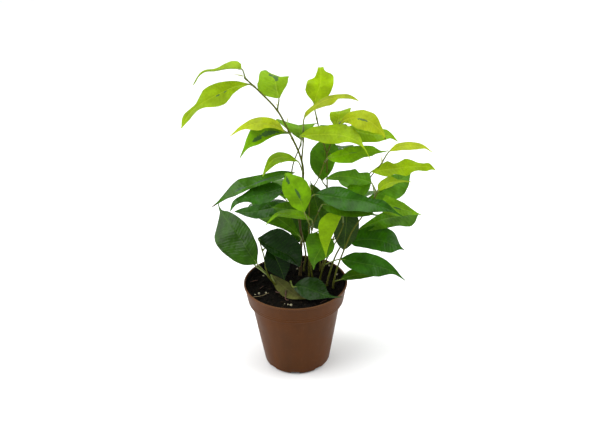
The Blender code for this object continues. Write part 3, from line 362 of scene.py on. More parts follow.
barkLook = {"wood": (0.052, 0.030, 0.008), "grey": (0.070, 0.052, 0.020), "green": (0.080, 0.095, 0.006),
            "pore": (0.15, 0.12, 0.05), "poreShare": 0.35, "roughness": (0.55, 0.75), "gloss": 0.12,
            "patches": 160.0, "fine": 1100.0, "pores": 650.0}      # noise scales, per metre
# leaf stalks: the darker last colour is painted shade, deepest where the stalk leaves its shoot
stalkLook = {"first": (0.150, 0.200, 0.012), "last": (0.070, 0.098, 0.008), "roughness": (0.38, 0.55),
             "patches": 150.0, "fine": 800.0}
budLook = {"first": (0.50, 0.55, 0.22), "last": (0.42, 0.36, 0.15), "roughness": (0.40, 0.55),
           "patches": 150.0, "fine": 800.0}


def barkMaterial():
    # mark: how far the green skin has turned to bark, from 0 to 1; leaf stalks carry their painted shade in
    # the same mark
    material, tree, shader, place = newMaterial("figBark")
    _, woody, _, _ = markOf(tree, "woody")
    patch = cloud(tree, place, barkLook["patches"], 3.0)
    fine = cloud(tree, place, barkLook["fine"], 3.0)
    wood = mixColours(tree, stepBetween(tree, patch, 0.35, 0.70), colour(*barkLook["wood"]),
                      colour(*barkLook["grey"]))
    turn = maths(tree, "ADD", woody, maths(tree, "MULTIPLY", maths(tree, "SUBTRACT", patch, 0.5), 0.7))
    skin = mixColours(tree, stepBetween(tree, turn, 0.25, 0.75), colour(*barkLook["green"]), wood)
    pores = stepBetween(tree, cloud(tree, place, barkLook["pores"], 1.0), 0.64, 0.70)
    poreShare = maths(tree, "MULTIPLY", pores, barkLook["poreShare"])
    skin = mixColours(tree, poreShare, skin, colour(*barkLook["pore"]))
    skin = tint(tree, skin, stepBetween(tree, fine, 0.2, 0.8, 0.75, 1.25))
    tree.links.new(skin, shader.inputs["Base Color"])
    low, high = barkLook["roughness"]
    tree.links.new(stepBetween(tree, patch, 0.3, 0.7, high, low), shader.inputs["Roughness"])
    shader.inputs["Specular IOR Level"].default_value = barkLook["gloss"]
    tree.links.new(bumpOf(tree, maths(tree, "ADD", fine, pores), 0.25, 0.8), shader.inputs["Normal"])
    return material


def softMaterial(name, look):
    # leaf stalks and buds: one soft colour that turns to another along the piece; on a stalk the darker
    # colour is painted shade, strongest at the shoot
    material, tree, shader, place = newMaterial(name)
    _, woody, _, _ = markOf(tree, "woody")
    fine = cloud(tree, place, look["fine"], 3.0)
    turn = maths(tree, "ADD", woody, maths(tree, "SUBTRACT", cloud(tree, place, look["patches"]), 0.5))
    skin = mixColours(tree, stepBetween(tree, turn, 0.1, 0.9), colour(*look["first"]), colour(*look["last"]))
    skin = tint(tree, skin, stepBetween(tree, fine, 0.2, 0.8, 0.85, 1.15))
    tree.links.new(skin, shader.inputs["Base Color"])
    tree.links.new(stepBetween(tree, fine, 0.3, 0.7, *look["roughness"]), shader.inputs["Roughness"])
    tree.links.new(bumpOf(tree, fine, 0.12, 0.6), shader.inputs["Normal"])
    return material


stemMaterials = [barkMaterial(), softMaterial("leafStalk", stalkLook), softMaterial("leafBud", budLook)]
print("plant materials made")

# Each leafy stem is one dictionary: its shoots, which repeat the part's routes, and its leaves.
# A leaf leaves its shoot, the stem's main one if it names none, at the height "joins". Its midrib
# runs through the points of rib, from the blade's base to its tip. face is where the upper side
# turns to: degrees round from the viewer towards +X, and degrees up. Each of the edges is a share of
# the length with the half widths there, on the plus side and on the minus side. A plain leaf has a
# width and an arch instead. A splash is a place along, a place aside, and its two half sizes.
leafyStems = [
    {"name": "leader", "node": "leafy_stem_leader", "slot": "young_foliage",
     "shoots": {
         "leader": {"radius": (1.5, 0.75), "route": [(5, 22, 92), (7, 22, 130), (6, 21, 150), (10, 18, 199),
             (8, 15, 223), (-2, 10, 251), (-13, 4, 277), (-28, 0, 297), (-42, -5, 314)]},
         "leaderTwig": {"radius": (0.8, 0.6), "route": [(9, 15, 219), (11, 12, 243), (11, 10, 254)]},
     },
     "buds": [{"root": (-43, -4, 315), "tip": (-54, -8, 318), "radius": 0.55},
              {"root": (-12, 5, 279), "tip": (-15, 2, 287), "radius": 0.55},
              {"root": (-4, 9, 262), "tip": (-3, 8, 270), "radius": 0.5}],
     "leaves": [
         {"joins": 313, "rib": [(-44, -6, 323), (-56, -8, 324), (-68, -10, 323), (-77, -9, 322),
          (-83, -10, 318), (-86, -10, 313), (-89, -9, 309)], "face": (0, 88), "fold": 25, "twist": -30,
          "baseHalf": (5, 1), "edges": [(0.03, 8, 4.5), (0.07, 9.5, 7), (0.16, 9.6, 8), (0.27, 7, 7.5),
          (0.38, 4.2, 6.5), (0.5, 3, 5.5), (0.65, 3, 4), (0.8, 2.2, 2.5), (0.92, 1.4, 1.4)], "shade": 0.95,
          "tone": "lime"},
         {"joins": 304, "rib": [(-38, -4, 307), (-50, -6, 306), (-61, -11, 303), (-74, -15, 298),
          (-85, -17, 292), (-92, -18, 286), (-97, -20, 280), (-101, -24, 273)], "face": (-10, 48),
          "fold": 6, "wave": 0.8, "waves": 1.5, "edges": [(0.08, 3, 2.5), (0.17, 6, 5.5), (0.25, 8.8, 7),
          (0.31, 10.5, 10), (0.37, 11.5, 12.4), (0.44, 12.2, 12), (0.52, 11.5, 9.5), (0.59, 7, 6),
          (0.67, 2.8, 4.2), (0.76, 2.8, 4), (0.84, 4, 4), (0.9, 3.2, 3), (0.96, 1.2, 1.2)],
          "splash": [(0.3, -0.1, 0.045, 0.1), (0.4, -0.08, 0.045, 0.12)], "tone": "lime"},
         {"joins": 277, "rib": [(-11, 5, 289), (-13, 10, 295), (-14, 15, 301), (-16, 21, 305),
          (-18, 35, 302), (-20, 47, 294)], "face": (24, 42), "fold": 4, "baseHalf": (1, 2),
          "edges": [(0.04, 2.5, 9), (0.09, 5, 15), (0.2, 9.5, 19), (0.32, 13, 18), (0.45, 15.5, 13.5),
          (0.58, 14, 9), (0.78, 8, 6), (0.92, 3, 3)], "splash": [(0.4, 0.12, 0.13, 0.28),
          (0.46, -0.15, 0.06, 0.35)], "shade": 0.98, "tone": "grass"},
         {"joins": 251, "rib": [(-7, 6, 255), (-16, 8, 260), (-28, 10, 262), (-39, 8, 261), (-49, 8, 257),
          (-55, 8, 253), (-59, 8, 250)], "face": (-15, 72), "fold": 6, "baseHalf": (0.6, 0.6),
          "edges": [(0.08, 3.5, 2), (0.18, 7, 4), (0.3, 8, 7), (0.43, 8, 12), (0.52, 7.6, 12.5),
          (0.6, 7, 8), (0.68, 5.5, 3.5), (0.78, 4, 2), (0.86, 2.2, 1.6)], "tone": "yellowLime"},
         {"joins": 246, "rib": [(-3, 8, 252), (-13, 7, 252), (-23, 4, 251), (-32, 2, 248), (-40, 1, 244),
          (-45, 0, 239), (-50, -3, 232)], "face": (-10, 50), "fold": 22, "edges": [(0.12, 5, 1.2),
          (0.3, 11, 3), (0.5, 13, 6), (0.6, 12, 6), (0.7, 6.5, 4), (0.76, 3.6, 2.6), (0.84, 1.8, 1.6),
          (0.92, 1.1, 1.1)], "splash": [(0.32, 0.25, 0.24, 0.35), (0.55, 0.1, 0.14, 0.3)], "shade": 1.15,
          "tone": "fresh"},
         {"joins": 204, "rib": [(5, 11, 221), (-4, 11, 225), (-13, 10, 226), (-20, 6, 224), (-25, 1, 219),
          (-29, -7, 214)], "face": (-10, 60), "fold": 4, "edges": [(0.1, 2, 3), (0.2, 4, 4.5),
          (0.4, 6.3, 8), (0.55, 5.4, 7.5), (0.68, 3.2, 5.5), (0.8, 1.8, 3.4), (0.9, 1.1, 1.5)],
          "shade": 0.92, "tone": "grass"},
         {"shoot": "leaderTwig", "joins": 242, "rib": [(8, 7, 249), (19, 5, 251), (32, 3, 252),
          (46, 2, 251), (55, 0, 249), (62, -3, 246), (68, -7, 241), (74, -13, 231)], "face": (8, 52),
          "fold": 0, "wave": 0.8, "edges": [(0.06, 2.5, 4.5), (0.15, 6, 9), (0.32, 10, 9.8),
          (0.49, 9.6, 12), (0.615, 5.5, 10.8), (0.725, 3, 5.5), (0.78, 1.5, 1.5), (0.84, 0.5, 0.5)],
          "shade": 1.03, "tone": "lime"},
         {"shoot": "leaderTwig", "joins": 253, "rib": [(12, 1, 270), (16, 4, 275), (24, 10, 279),
          (33, 15, 282), (45, 16, 284), (55, 15, 284), (64, 13, 281)], "face": (-20, 70), "wave": 1,
          "edges": [(0.08, 3, 2.2), (0.2, 4.5, 2.3), (0.35, 8, 2.6), (0.46, 11, 3.2), (0.55, 12, 4),
          (0.61, 9, 4.2), (0.66, 3, 4.2), (0.8, 2.8, 4.2), (0.9, 1.5, 2.2)], "shade": 0.72,
          "tone": "yellowLime"},
         {"joins": 122, "rib": [(6, 18, 133), (-6, 26, 142), (-19, 34, 149), (-32, 45, 154),
          (-45, 56, 157)], "face": (-10, 50), "fold": 4, "edges": [(0.1, 3, 3.5), (0.26, 8, 6),
          (0.5, 10, 11), (0.65, 10, 12.5), (0.76, 8, 11), (0.88, 4, 5), (0.95, 1, 1)], "shade": 0.85,
          "tone": "mid"},
     ]},
    {"name": "backLeft", "node": "leafy_stem_back_left", "slot": "mid_foliage",
     "shoots": {
         "backLeft": {"radius": (1, 0.6), "route": [(9, 31, 92), (11, 31, 107), (5, 28, 146), (-1, 20, 186),
             (0, 18, 212), (9, 21, 235)]},
     },
     "leaves": [
         {"joins": 233, "rib": [(9, 21, 239), (8, 26, 244), (7, 34, 248), (6, 48, 242), (4, 64, 230)],
          "face": (10, 50), "fold": 10, "edges": [(0.1, 6, 7), (0.2, 12, 12), (0.35, 20, 23), (0.5, 19, 20),
          (0.7, 13, 13), (0.85, 5, 5), (0.93, 2, 2)], "shade": 0.82, "tone": "fresh"},
         {"joins": 204, "rib": [(1, 6, 211), (-11, 4, 210), (-27, 0, 207), (-41, -1, 202), (-53, -1, 197),
          (-65, -1, 190), (-80, -5, 181)], "face": (-15, 50), "fold": 4, "wave": 0.6,
          "edges": [(0.05, 2.5, 2.5), (0.14, 4.6, 4.2), (0.33, 6.2, 4.2), (0.43, 8.2, 3.8), (0.5, 9.3, 3.4),
          (0.6, 10.4, 4.4), (0.7, 8, 4.2), (0.8, 4.4, 2), (0.9, 1.5, 1.2)],
          "splash": [(0.34, -0.05, 0.2, 0.32), (0.62, 0, 0.12, 0.24)], "dryTip": 0.11, "shade": 1.45,
          "tone": "aged"},
         {"joins": 186, "rib": [(-10, 2, 197), (-22, -1, 195), (-37, -4, 192), (-49, -4, 189),
          (-57, -5, 185), (-62, -7, 177)], "face": (-10, 50), "fold": 4, "edges": [(0.06, 6, 5.5),
          (0.14, 9, 8.5), (0.25, 10.5, 10.3), (0.38, 11, 10.8), (0.47, 10, 10), (0.6, 6, 5), (0.68, 4, 3.8),
          (0.835, 2.8, 2.6), (0.92, 1.3, 1.3)], "tone": "deep"},
         {"joins": 163, "rib": [(-6, 27, 163), (-19, 24, 164), (-32, 22, 163), (-44, 23, 160),
          (-54, 26, 159), (-60, 27, 159)], "face": (-10, 55), "fold": 4, "edges": [(0.1, 4.5, 5),
          (0.22, 7, 8), (0.45, 8.5, 10), (0.6, 8, 9), (0.7, 7, 6), (0.83, 5.5, 3.2), (0.92, 3, 1.4)],
          "shade": 0.7, "tone": "deep"},
     ]},
    {"name": "forked", "node": "leafy_stem_forked", "slot": "young_foliage",
     "shoots": {
         "forked": {"radius": (1.1, 0.65), "route": [(26, 28, 92), (26, 30, 106), (32, 34, 152),
             (34, 34, 178), (34, 30, 220)]},
         "forkLeft": {"radius": (0.8, 0.65), "route": [(34, 30, 219), (27, 24, 247), (24, 21, 262)]},
         "forkRight": {"radius": (0.8, 0.65), "route": [(34, 30, 219), (41, 24, 242), (45, 20, 252)]},
     },
     "leaves": [
         {"joins": 180, "rib": [(29, 30, 190), (30, 32, 198), (31, 36, 209), (33, 39, 221), (34, 38, 235)],
          "face": (0, 10), "fold": 4, "edges": [(0.06, 3, 4), (0.13, 6, 8), (0.25, 9.5, 12),
          (0.36, 11, 13.5), (0.55, 12.5, 14.8), (0.7, 13.5, 13), (0.82, 9, 9), (0.92, 3, 3)], "shade": 1.6,
          "tone": "mid"},
         {"joins": 212, "rib": [(38, 38, 216), (62, 86, 193)], "face": (170, 60), "width": 24, "arch": 7,
          "tone": "mid"},
         {"joins": 196, "rib": [(30, 42, 200), (27, 86, 177)], "face": (180, 60), "width": 22, "arch": 6,
          "tone": "mid"},
         {"shoot": "forkLeft", "joins": 260, "rib": [(22, 21, 276), (25, 24, 285), (28, 27, 293),
          (29, 32, 301), (29, 37, 306), (29, 41, 304)], "face": (0, 25), "fold": 6, "wave": 1.2,
          "waves": 2.5, "tipHalf": (2.2, 2), "edges": [(0.06, 3, 3.2), (0.15, 7.5, 8.8), (0.245, 11, 11.8),
          (0.42, 12, 12.8), (0.52, 12.6, 12.4), (0.57, 12.6, 11), (0.61, 12.6, 6.8), (0.67, 12.4, 5.1),
          (0.73, 10.5, 4.5), (0.77, 5, 3.8), (0.82, 3.4, 3.2), (0.9, 2.7, 2.6)], "shade": 1.15,
          "tone": "lime"},
         {"shoot": "forkLeft", "joins": 238, "rib": [(32, 36, 240), (55, 78, 218)], "face": (170, 60),
          "width": 24, "arch": 7, "shade": 1.2, "tone": "mid"},
         {"shoot": "forkRight", "joins": 240, "rib": [(43, 24, 250), (45, 29, 255), (47, 36, 261),
          (50, 49, 256), (54, 63, 246)], "face": (-25, 50), "fold": 4, "edges": [(0.06, 5, 4.5),
          (0.14, 9, 8), (0.24, 11, 9.3), (0.4, 11, 8.7), (0.6, 9.5, 7.5), (0.8, 5.5, 4.5), (0.92, 2, 1.5)],
          "shade": 0.86, "tone": "lime"},
         {"shoot": "forkRight", "joins": 250, "rib": [(47, 18, 258), (56, 17, 262), (65, 13, 263),
          (75, 9, 261), (81, 7, 256), (86, 5, 251), (89, 3, 245)], "fold": 0, "edges": [(0.08, 3.5, 3.5),
          (0.18, 6.5, 6.5), (0.37, 11, 10), (0.57, 11, 9.5), (0.73, 7.5, 5.2), (0.82, 4, 3),
          (0.9, 1.6, 1.5)], "splash": [(0.42, 0.08, 0.17, 0.16)], "dryTip": 0.07, "tone": "yellowLime"},
         {"shoot": "forkRight", "joins": 246, "rib": [(55, 26, 249), (66, 20, 246), (77, 16, 245),
          (88, 15, 244), (95, 16, 242), (102, 13, 238)], "fold": 4, "edges": [(0.08, 3, 6), (0.2, 6, 10),
          (0.33, 11, 11), (0.47, 9.5, 10), (0.6, 8, 7.5), (0.68, 6, 6.5), (0.76, 4, 6.5), (0.83, 2.2, 3.4),
          (0.92, 1, 1.2)], "tone": "grass"},
     ]},
    {"name": "centre", "node": "leafy_stem_centre", "slot": "mid_foliage",
     "shoots": {
         "centre": {"radius": (0.95, 0.5), "route": [(14, 18, 92), (14, 14, 106), (15, 2, 166),
             (17, -2, 193), (24, 0, 206), (32, 6, 224)]},
     },
     "buds": [{"root": (17, -2, 194), "tip": (15, 0, 205), "radius": 0.6}],
     "leaves": [
         {"joins": 222, "rib": [(34, 8, 225), (44, 7, 227), (56, 8, 229), (67, 9, 230), (77, 10, 230),
          (85, 10, 229), (93, 12, 229)], "face": (0, 45), "fold": 6, "wave": 0.8, "waves": 2.5,
          "edges": [(0.05, 4, 3), (0.17, 7.5, 5.8), (0.37, 10, 6.8), (0.47, 8.6, 6.6), (0.57, 6.3, 6.4),
          (0.73, 5.2, 5.2), (0.8, 2.4, 2.8), (0.87, 1, 1.1)], "splash": [(0.42, -0.05, 0.09, 0.07)],
          "shade": 1.13, "tone": "fresh"},
         {"joins": 186, "rib": [(21, -8, 194), (35, -13, 194), (49, -17, 193), (62, -19, 192),
          (73, -21, 190), (84, -24, 187), (94, -26, 183), (105, -29, 178)], "face": (0, 55), "wave": 0.6,
          "edges": [(0.05, 3, 5), (0.16, 9, 10.8), (0.25, 11.8, 12.5), (0.325, 14, 11.2), (0.4, 13.4, 8.5),
          (0.467, 12.4, 6.3), (0.6, 11.8, 4.5), (0.68, 9.5, 6), (0.735, 6.5, 7), (0.8, 3, 5),
          (0.85, 1.3, 2.8), (0.92, 0.8, 1)], "shade": 0.95, "tone": "deep"},
         {"joins": 160, "rib": [(10, 2, 168), (-22, 8, 173)], "width": 16, "arch": 3, "shade": 1.1,
          "tone": "mid"},
         {"joins": 140, "rib": [(28, 8, 147), (17, 14, 198)], "face": (0, 30), "width": 27, "arch": 4,
          "shade": 0.62, "tone": "mid"},
     ]},
    {"name": "short", "node": "leafy_stem_short", "slot": "young_foliage",
     "shoots": {
         "short": {"radius": (0.95, 0.5), "route": [(18, 5, 92), (16, 2, 106), (17, -8, 153),
             (25, -7, 177)]},
     },
     "leaves": [
         {"joins": 155, "rib": [(10, -19, 181), (5, -13, 195), (-3, -7, 208), (-6, -2, 212), (-7, 0, 210)],
          "face": (0, 30), "fold": 5, "tipHalf": (0.8, 0.8), "edges": [(0.08, 4, 5), (0.2, 9, 9.5),
          (0.36, 13, 11), (0.55, 14, 12), (0.7, 12, 10.5), (0.8, 8.5, 7.5), (0.89, 5, 3.6),
          (0.95, 2.5, 1.8)], "splash": [(0.42, 0.04, 0.2, 0.16), (0.8, -0.18, 0.15, 0.32)], "shade": 1.02,
          "tone": "fresh"},
         {"joins": 158, "rib": [(17, -14, 170), (6, -13, 173), (-6, -10, 174), (-16, -8, 173),
          (-22, -10, 169), (-28, -13, 164)], "face": (-10, 75), "edges": [(0.1, 4, 2.5), (0.24, 7, 5),
          (0.45, 6.5, 6), (0.6, 4.5, 4.5), (0.7, 2.4, 2.6), (0.82, 1.5, 1.6), (0.92, 0.8, 0.8)],
          "shade": 0.85, "tone": "fresh"},
         {"joins": 143, "rib": [(32, -12, 153), (29, -18, 148), (24, -23, 140), (19, -26, 131),
          (18, -27, 121)], "face": (5, 25), "fold": 6, "edges": [(0.06, 6, 4.5), (0.14, 13, 9),
          (0.23, 17, 11.5), (0.36, 17, 12.5), (0.5, 15, 10.5), (0.62, 11, 7.5), (0.76, 5, 4),
          (0.86, 2, 1.7)], "shade": 1.15, "tone": "mid"},
         {"joins": 175, "rib": [(28, -8, 183), (80, -22, 177)], "width": 20, "arch": 4, "tone": "mid"},
     ]},
    {"name": "lowRight", "node": "leafy_stem_low_right", "slot": "mid_foliage",
     "shoots": {
         "lowRight": {"radius": (0.95, 0.5), "route": [(25, 8, 92), (30, 4, 110), (38, -2, 131),
             (47, -13, 160), (47, -14, 168)]},
     },
     "leaves": [
         {"joins": 166, "rib": [(47, -16, 175), (44, -18, 171), (41, -21, 165), (35, -26, 154),
          (32, -29, 146), (30, -31, 137)], "face": (48, 15), "fold": -45, "edges": [(0.05, 8, 5),
          (0.12, 14, 8), (0.22, 16.5, 9), (0.34, 17.5, 9), (0.48, 16, 8), (0.62, 11.5, 6), (0.75, 6.5, 3.5),
          (0.88, 2.6, 1.5)], "tone": "grass"},
         {"joins": 107, "rib": [(46, -6, 120), (57, -11, 120), (68, -15, 119), (80, -16, 117),
          (90, -17, 114), (99, -19, 110), (109, -23, 103)], "fold": 4, "edges": [(0.05, 4, 4.5),
          (0.16, 8.2, 9.7), (0.34, 10.8, 12.3), (0.515, 11.8, 11), (0.6, 10.5, 9.5), (0.66, 8, 8),
          (0.74, 4.5, 5.5), (0.81, 2, 3.2), (0.9, 1, 1.1)], "shade": 0.92, "tone": "deep"},
     ]},
    {"name": "outerRight", "node": "leafy_stem_outer_right", "slot": "mid_foliage",
     "shoots": {
         "outerRight": {"radius": (1, 0.5), "route": [(32, 0, 92), (40, 8, 113), (52, 16, 134),
             (56, 18, 154), (68, 12, 188), (76, 8, 204), (87, 3, 222)]},
     },
     "buds": [{"root": (86, 3, 220), "tip": (85, 4, 229), "radius": 0.6}],
     "leaves": [
         {"joins": 158, "rib": [(53, 10, 170), (49, 7, 120)], "face": (5, 25), "width": 26, "arch": 3,
          "shade": 0.34, "tone": "mid"},
         {"joins": 220, "rib": [(93, 3, 233), (100, 1, 237), (110, 0, 239), (120, 1, 238), (127, 1, 236),
          (134, 1, 231)], "face": (0, 68), "fold": 6, "edges": [(0.06, 2.5, 2.2), (0.18, 5, 4.6),
          (0.42, 6.2, 4.8), (0.6, 5, 4.3), (0.7, 3.5, 3.6), (0.8, 1.4, 2), (0.9, 0.8, 0.8)], "shade": 0.84,
          "tone": "yellowLime"},
         {"joins": 198, "rib": [(76, 4, 211), (86, 3, 213), (98, 3, 214), (109, 4, 215), (121, 5, 215),
          (131, 5, 214), (138, 4, 211)], "face": (0, 48), "fold": 4, "wave": 1.4, "waves": 3.2,
          "phase": 0.7, "edges": [(0.08, 4, 3.4), (0.167, 6.5, 6), (0.26, 8, 8.3), (0.35, 6, 5.2),
          (0.44, 8, 6.2), (0.535, 9, 8.5), (0.63, 6, 6.7), (0.72, 4.8, 4.2), (0.81, 5, 3), (0.87, 4.8, 4.2),
          (0.95, 1.4, 1.5)], "tone": "lime"},
         {"joins": 138, "rib": [(63, 13, 141), (74, 15, 146), (87, 18, 150), (102, 22, 151), (115, 25, 150),
          (126, 28, 150)], "face": (5, 50), "fold": 5, "wave": 0.8, "edges": [(0.08, 3, 2), (0.19, 7, 3.5),
          (0.42, 10.5, 6.5), (0.65, 11, 9), (0.75, 12, 8), (0.84, 12, 6), (0.92, 7.5, 3), (0.97, 2.5, 1)],
          "shade": 0.95, "tone": "mid"},
         {"joins": 132, "rib": [(56, 6, 133), (66, 5, 135), (77, 4, 136), (89, 3, 134), (98, 2, 130),
          (104, 2, 127), (110, 2, 124)], "face": (5, 45), "fold": 0, "baseHalf": (1.5, 0.5),
          "edges": [(0.05, 5.5, 5), (0.17, 7.6, 10.5), (0.39, 10.5, 14), (0.6, 11, 14.3), (0.7, 10, 13),
          (0.78, 8.5, 10.5), (0.85, 5, 6), (0.9, 2, 2.8), (0.95, 0.9, 1)], "shade": 0.95, "tone": "deep"},
     ]},
    {"name": "innerRight", "node": "leafy_stem_inner_right", "slot": "mid_foliage",
     "shoots": {
         "innerRight": {"radius": (1, 0.6), "route": [(38, -5, 92), (42, -4, 108), (50, -4, 132),
             (58, -4, 152), (75, -10, 183), (81, -16, 201)]},
     },
     "leaves": [
         {"joins": 199, "rib": [(81, -17, 201), (87, -16, 206), (93, -16, 209), (100, -15, 209),
          (106, -15, 209), (113, -15, 208)], "face": (-20, 60), "fold": 10, "wave": 1.5,
          "edges": [(0.08, 3.2, 4.5), (0.22, 5.4, 7), (0.42, 5, 6), (0.55, 3, 3.6), (0.62, 2, 2.2),
          (0.75, 1.2, 1.6), (0.88, 0.7, 0.8)], "shade": 0.75, "tone": "lime"},
         {"joins": 180, "rib": [(69, -6, 184), (81, -3, 189), (93, 3, 194), (105, 12, 197), (116, 21, 201)],
          "face": (10, 48), "fold": 4, "tipHalf": (0.5, 0.5), "edges": [(0.08, 5, 2), (0.25, 10, 3.5),
          (0.5, 15, 8), (0.65, 13.5, 9), (0.8, 9, 7), (0.9, 4.5, 3.5)], "shade": 1.35, "tone": "mid"},
         {"joins": 197, "rib": [(75, -8, 205), (66, -6, 208), (55, -4, 210), (45, -4, 211), (38, -4, 210),
          (31, -4, 208)], "fold": 4, "wave": 0.8, "waves": 2.5, "edges": [(0.05, 5, 3), (0.12, 9, 5),
          (0.21, 7.5, 7), (0.3, 6, 7.5), (0.385, 9.5, 8.3), (0.47, 7, 8.2), (0.58, 5.8, 5.5),
          (0.69, 5.3, 4.8), (0.8, 3.8, 4.2), (0.88, 2.4, 2.6), (0.95, 1, 1)], "shade": 1.15, "tone": "mid"},
         {"joins": 192, "rib": [(75, -4, 203), (67, -3, 200), (59, -3, 198), (52, -3, 198)],
          "face": (0, 40), "fold": 4, "tipHalf": (0.5, 0.5), "edges": [(0.12, 3.5, 6), (0.3, 5.5, 9.5),
          (0.5, 6, 10.5), (0.7, 5, 8), (0.88, 3, 4)], "shade": 1.9, "tone": "mid"},
         {"joins": 184, "rib": [(72, -4, 183), (84, -8, 184), (95, -12, 182), (105, -14, 179),
          (114, -15, 176), (123, -16, 173)], "fold": 4, "edges": [(0.08, 4, 4), (0.22, 9, 8),
          (0.45, 11, 7.5), (0.64, 8.5, 6.5), (0.74, 5.5, 4.5), (0.83, 3.2, 2.7), (0.92, 1.2, 1)],
          "splash": [(0.55, 0.15, 0.12, 0.16)], "shade": 0.95, "tone": "fresh"},
         {"joins": 93, "rib": [(46, -4, 95), (55, -3, 98), (65, -2, 99), (77, -1, 98), (90, 0, 98)],
          "fold": 4, "edges": [(0.08, 2.5, 3), (0.22, 4.5, 6), (0.45, 5, 8), (0.65, 3, 7), (0.8, 1.5, 4),
          (0.92, 0.8, 1.2)], "shade": 0.65, "tone": "mid"},
     ]},
    {"name": "left", "node": "leafy_stem_left", "slot": "old_foliage",
     "shoots": {
         "left": {"radius": (1, 0.6), "route": [(-20, -3, 92), (-28, -4, 103), (-31, -3, 124),
             (-35, -2, 142)]},
     },
     "leaves": [
         {"joins": 102, "rib": [(-38, -6, 117), (-46, 0, 127), (-54, 9, 138), (-63, 19, 147),
          (-71, 30, 153), (-75, 37, 157), (-77, 43, 162)], "face": (-20, 35), "fold": -3,
          "edges": [(0.05, 3.5, 8.5), (0.1, 7, 13), (0.19, 10, 18), (0.3, 12.5, 22), (0.41, 13.6, 24),
          (0.52, 13, 24.3), (0.6, 11.8, 23.3), (0.67, 10.3, 20.5), (0.73, 8.8, 13.5), (0.8, 6.4, 6),
          (0.86, 2, 1.2), (0.93, 0.7, 0.7)], "dryTip": 0.04, "shade": 0.84, "tone": "aged"},
         {"joins": 141, "rib": [(-36, -4, 145), (-26, -10, 140), (-14, -14, 135), (-4, -16, 130),
          (5, -20, 120)], "face": (10, 45), "fold": 28, "tipHalf": (0.4, 0.4), "edges": [(0.05, 2, 7),
          (0.12, 4, 14.5), (0.24, 6, 20), (0.37, 8, 21), (0.5, 8.5, 20.5), (0.62, 8.5, 18.5), (0.74, 8, 15),
          (0.85, 5, 9.5), (0.93, 2, 4)], "dryTip": 0.04, "shade": 0.6, "tone": "dark"},
         {"joins": 130, "rib": [(-26, 0, 134), (-21, -6, 127), (-16, -11, 118), (-13, -14, 110),
          (-11, -16, 103)], "face": (5, 30), "fold": 6, "edges": [(0.1, 5, 6), (0.25, 10.5, 12),
          (0.45, 13, 14), (0.6, 12, 12), (0.75, 8.5, 8), (0.86, 4, 4), (0.94, 1.2, 1.5)], "shade": 0.42,
          "tone": "dark"},
         {"joins": 101, "rib": [(-43, 14, 107), (-59, 56, 124)], "face": (200, 60), "width": 20, "arch": 6,
          "shade": 0.6, "tone": "deep"},
         {"joins": 112, "rib": [(-23, 14, 128), (-11, 56, 96)], "face": (180, 60), "width": 26, "arch": 7,
          "shade": 0.6, "tone": "deep"},
         {"joins": 91, "rib": [(-25, 14, 92), (-18, 2, 91), (-10, -9, 89), (-1, -20, 88), (10, -28, 88)],
          "face": (0, 88), "fold": -4, "edges": [(0.08, 3, 2.5), (0.2, 4.8, 5.5), (0.4, 8, 8.5),
          (0.6, 9.5, 8), (0.75, 8, 6.5), (0.88, 4, 4), (0.96, 1.3, 1.3)], "tone": "withered"},
     ]},
    {"name": "rearLeft", "node": "leafy_stem_rear_left", "slot": "mid_foliage",
     "shoots": {
         "rearLeft": {"radius": (1, 0.5), "route": [(16, 40, 92), (14, 44, 106), (7, 50, 121), (0, 56, 139),
             (-4, 62, 153)]},
     },
     "leaves": [
         {"joins": 145, "rib": [(-8, 60, 155), (-58, 84, 154)], "face": (200, 60), "width": 24, "arch": 7,
          "tone": "mid"},
         {"joins": 152, "rib": [(-5, 66, 158), (-25, 116, 147)], "face": (180, 60), "width": 26, "arch": 8,
          "tone": "mid"},
         {"joins": 135, "rib": [(-4, 58, 143), (-51, 92, 129)], "face": (200, 60), "width": 26, "arch": 7,
          "shade": 0.9, "tone": "deep"},
         {"joins": 112, "rib": [(8, 46, 111), (3, 52, 151)], "face": (0, 20), "width": 21, "arch": 3,
          "shade": 1.2, "tone": "aged"},
     ]},
    {"name": "rearRight", "node": "leafy_stem_rear_right", "slot": "mid_foliage",
     "shoots": {
         "rearRight": {"radius": (1, 0.5), "route": [(28, 34, 92), (36, 42, 108), (46, 48, 126),
             (52, 54, 146), (56, 62, 160)]},
     },
     "leaves": [
         {"joins": 140, "rib": [(59, 58, 149), (109, 88, 140)], "face": (160, 60), "width": 26, "arch": 7,
          "tone": "mid"},
         {"joins": 157, "rib": [(57, 66, 163), (68, 116, 142)], "face": (180, 60), "width": 26, "arch": 8,
          "shade": 1.1, "tone": "mid"},
         {"joins": 130, "rib": [(55, 54, 136), (109, 80, 109)], "face": (150, 60), "width": 28, "arch": 7,
          "shade": 0.9, "tone": "deep"},
         {"joins": 134, "rib": [(48, 58, 139), (31, 104, 123)], "face": (190, 60), "width": 26, "arch": 7,
          "shade": 0.8, "tone": "deep"},
         {"joins": 112, "rib": [(46, 48, 116), (94, 74, 80)], "face": (150, 60), "width": 26, "arch": 7,
          "shade": 0.7, "tone": "deep"},
     ]},
    {"name": "sprout", "node": "leafy_sprout_front", "slot": "old_foliage",
     "shoots": {
         "sprout": {"radius": (0.9, 0.8), "route": [(-5, 3, 88), (-5, 2, 91)]},
     },
     "leaves": [
         {"joins": 90, "rib": [(-2, -16, 95), (8, -20, 97), (19, -25, 95), (29, -31, 94), (37, -35, 94),
          (46, -37, 95)], "face": (0, 62), "fold": -4, "edges": [(0.06, 5, 6), (0.2, 10, 12.5),
          (0.33, 11.5, 15), (0.43, 11, 14.5), (0.54, 8, 11), (0.64, 4.7, 5.8), (0.72, 2.2, 2.4),
          (0.82, 1.1, 1.1)], "shade": 0.3, "tone": "deep"},
     ]},
]
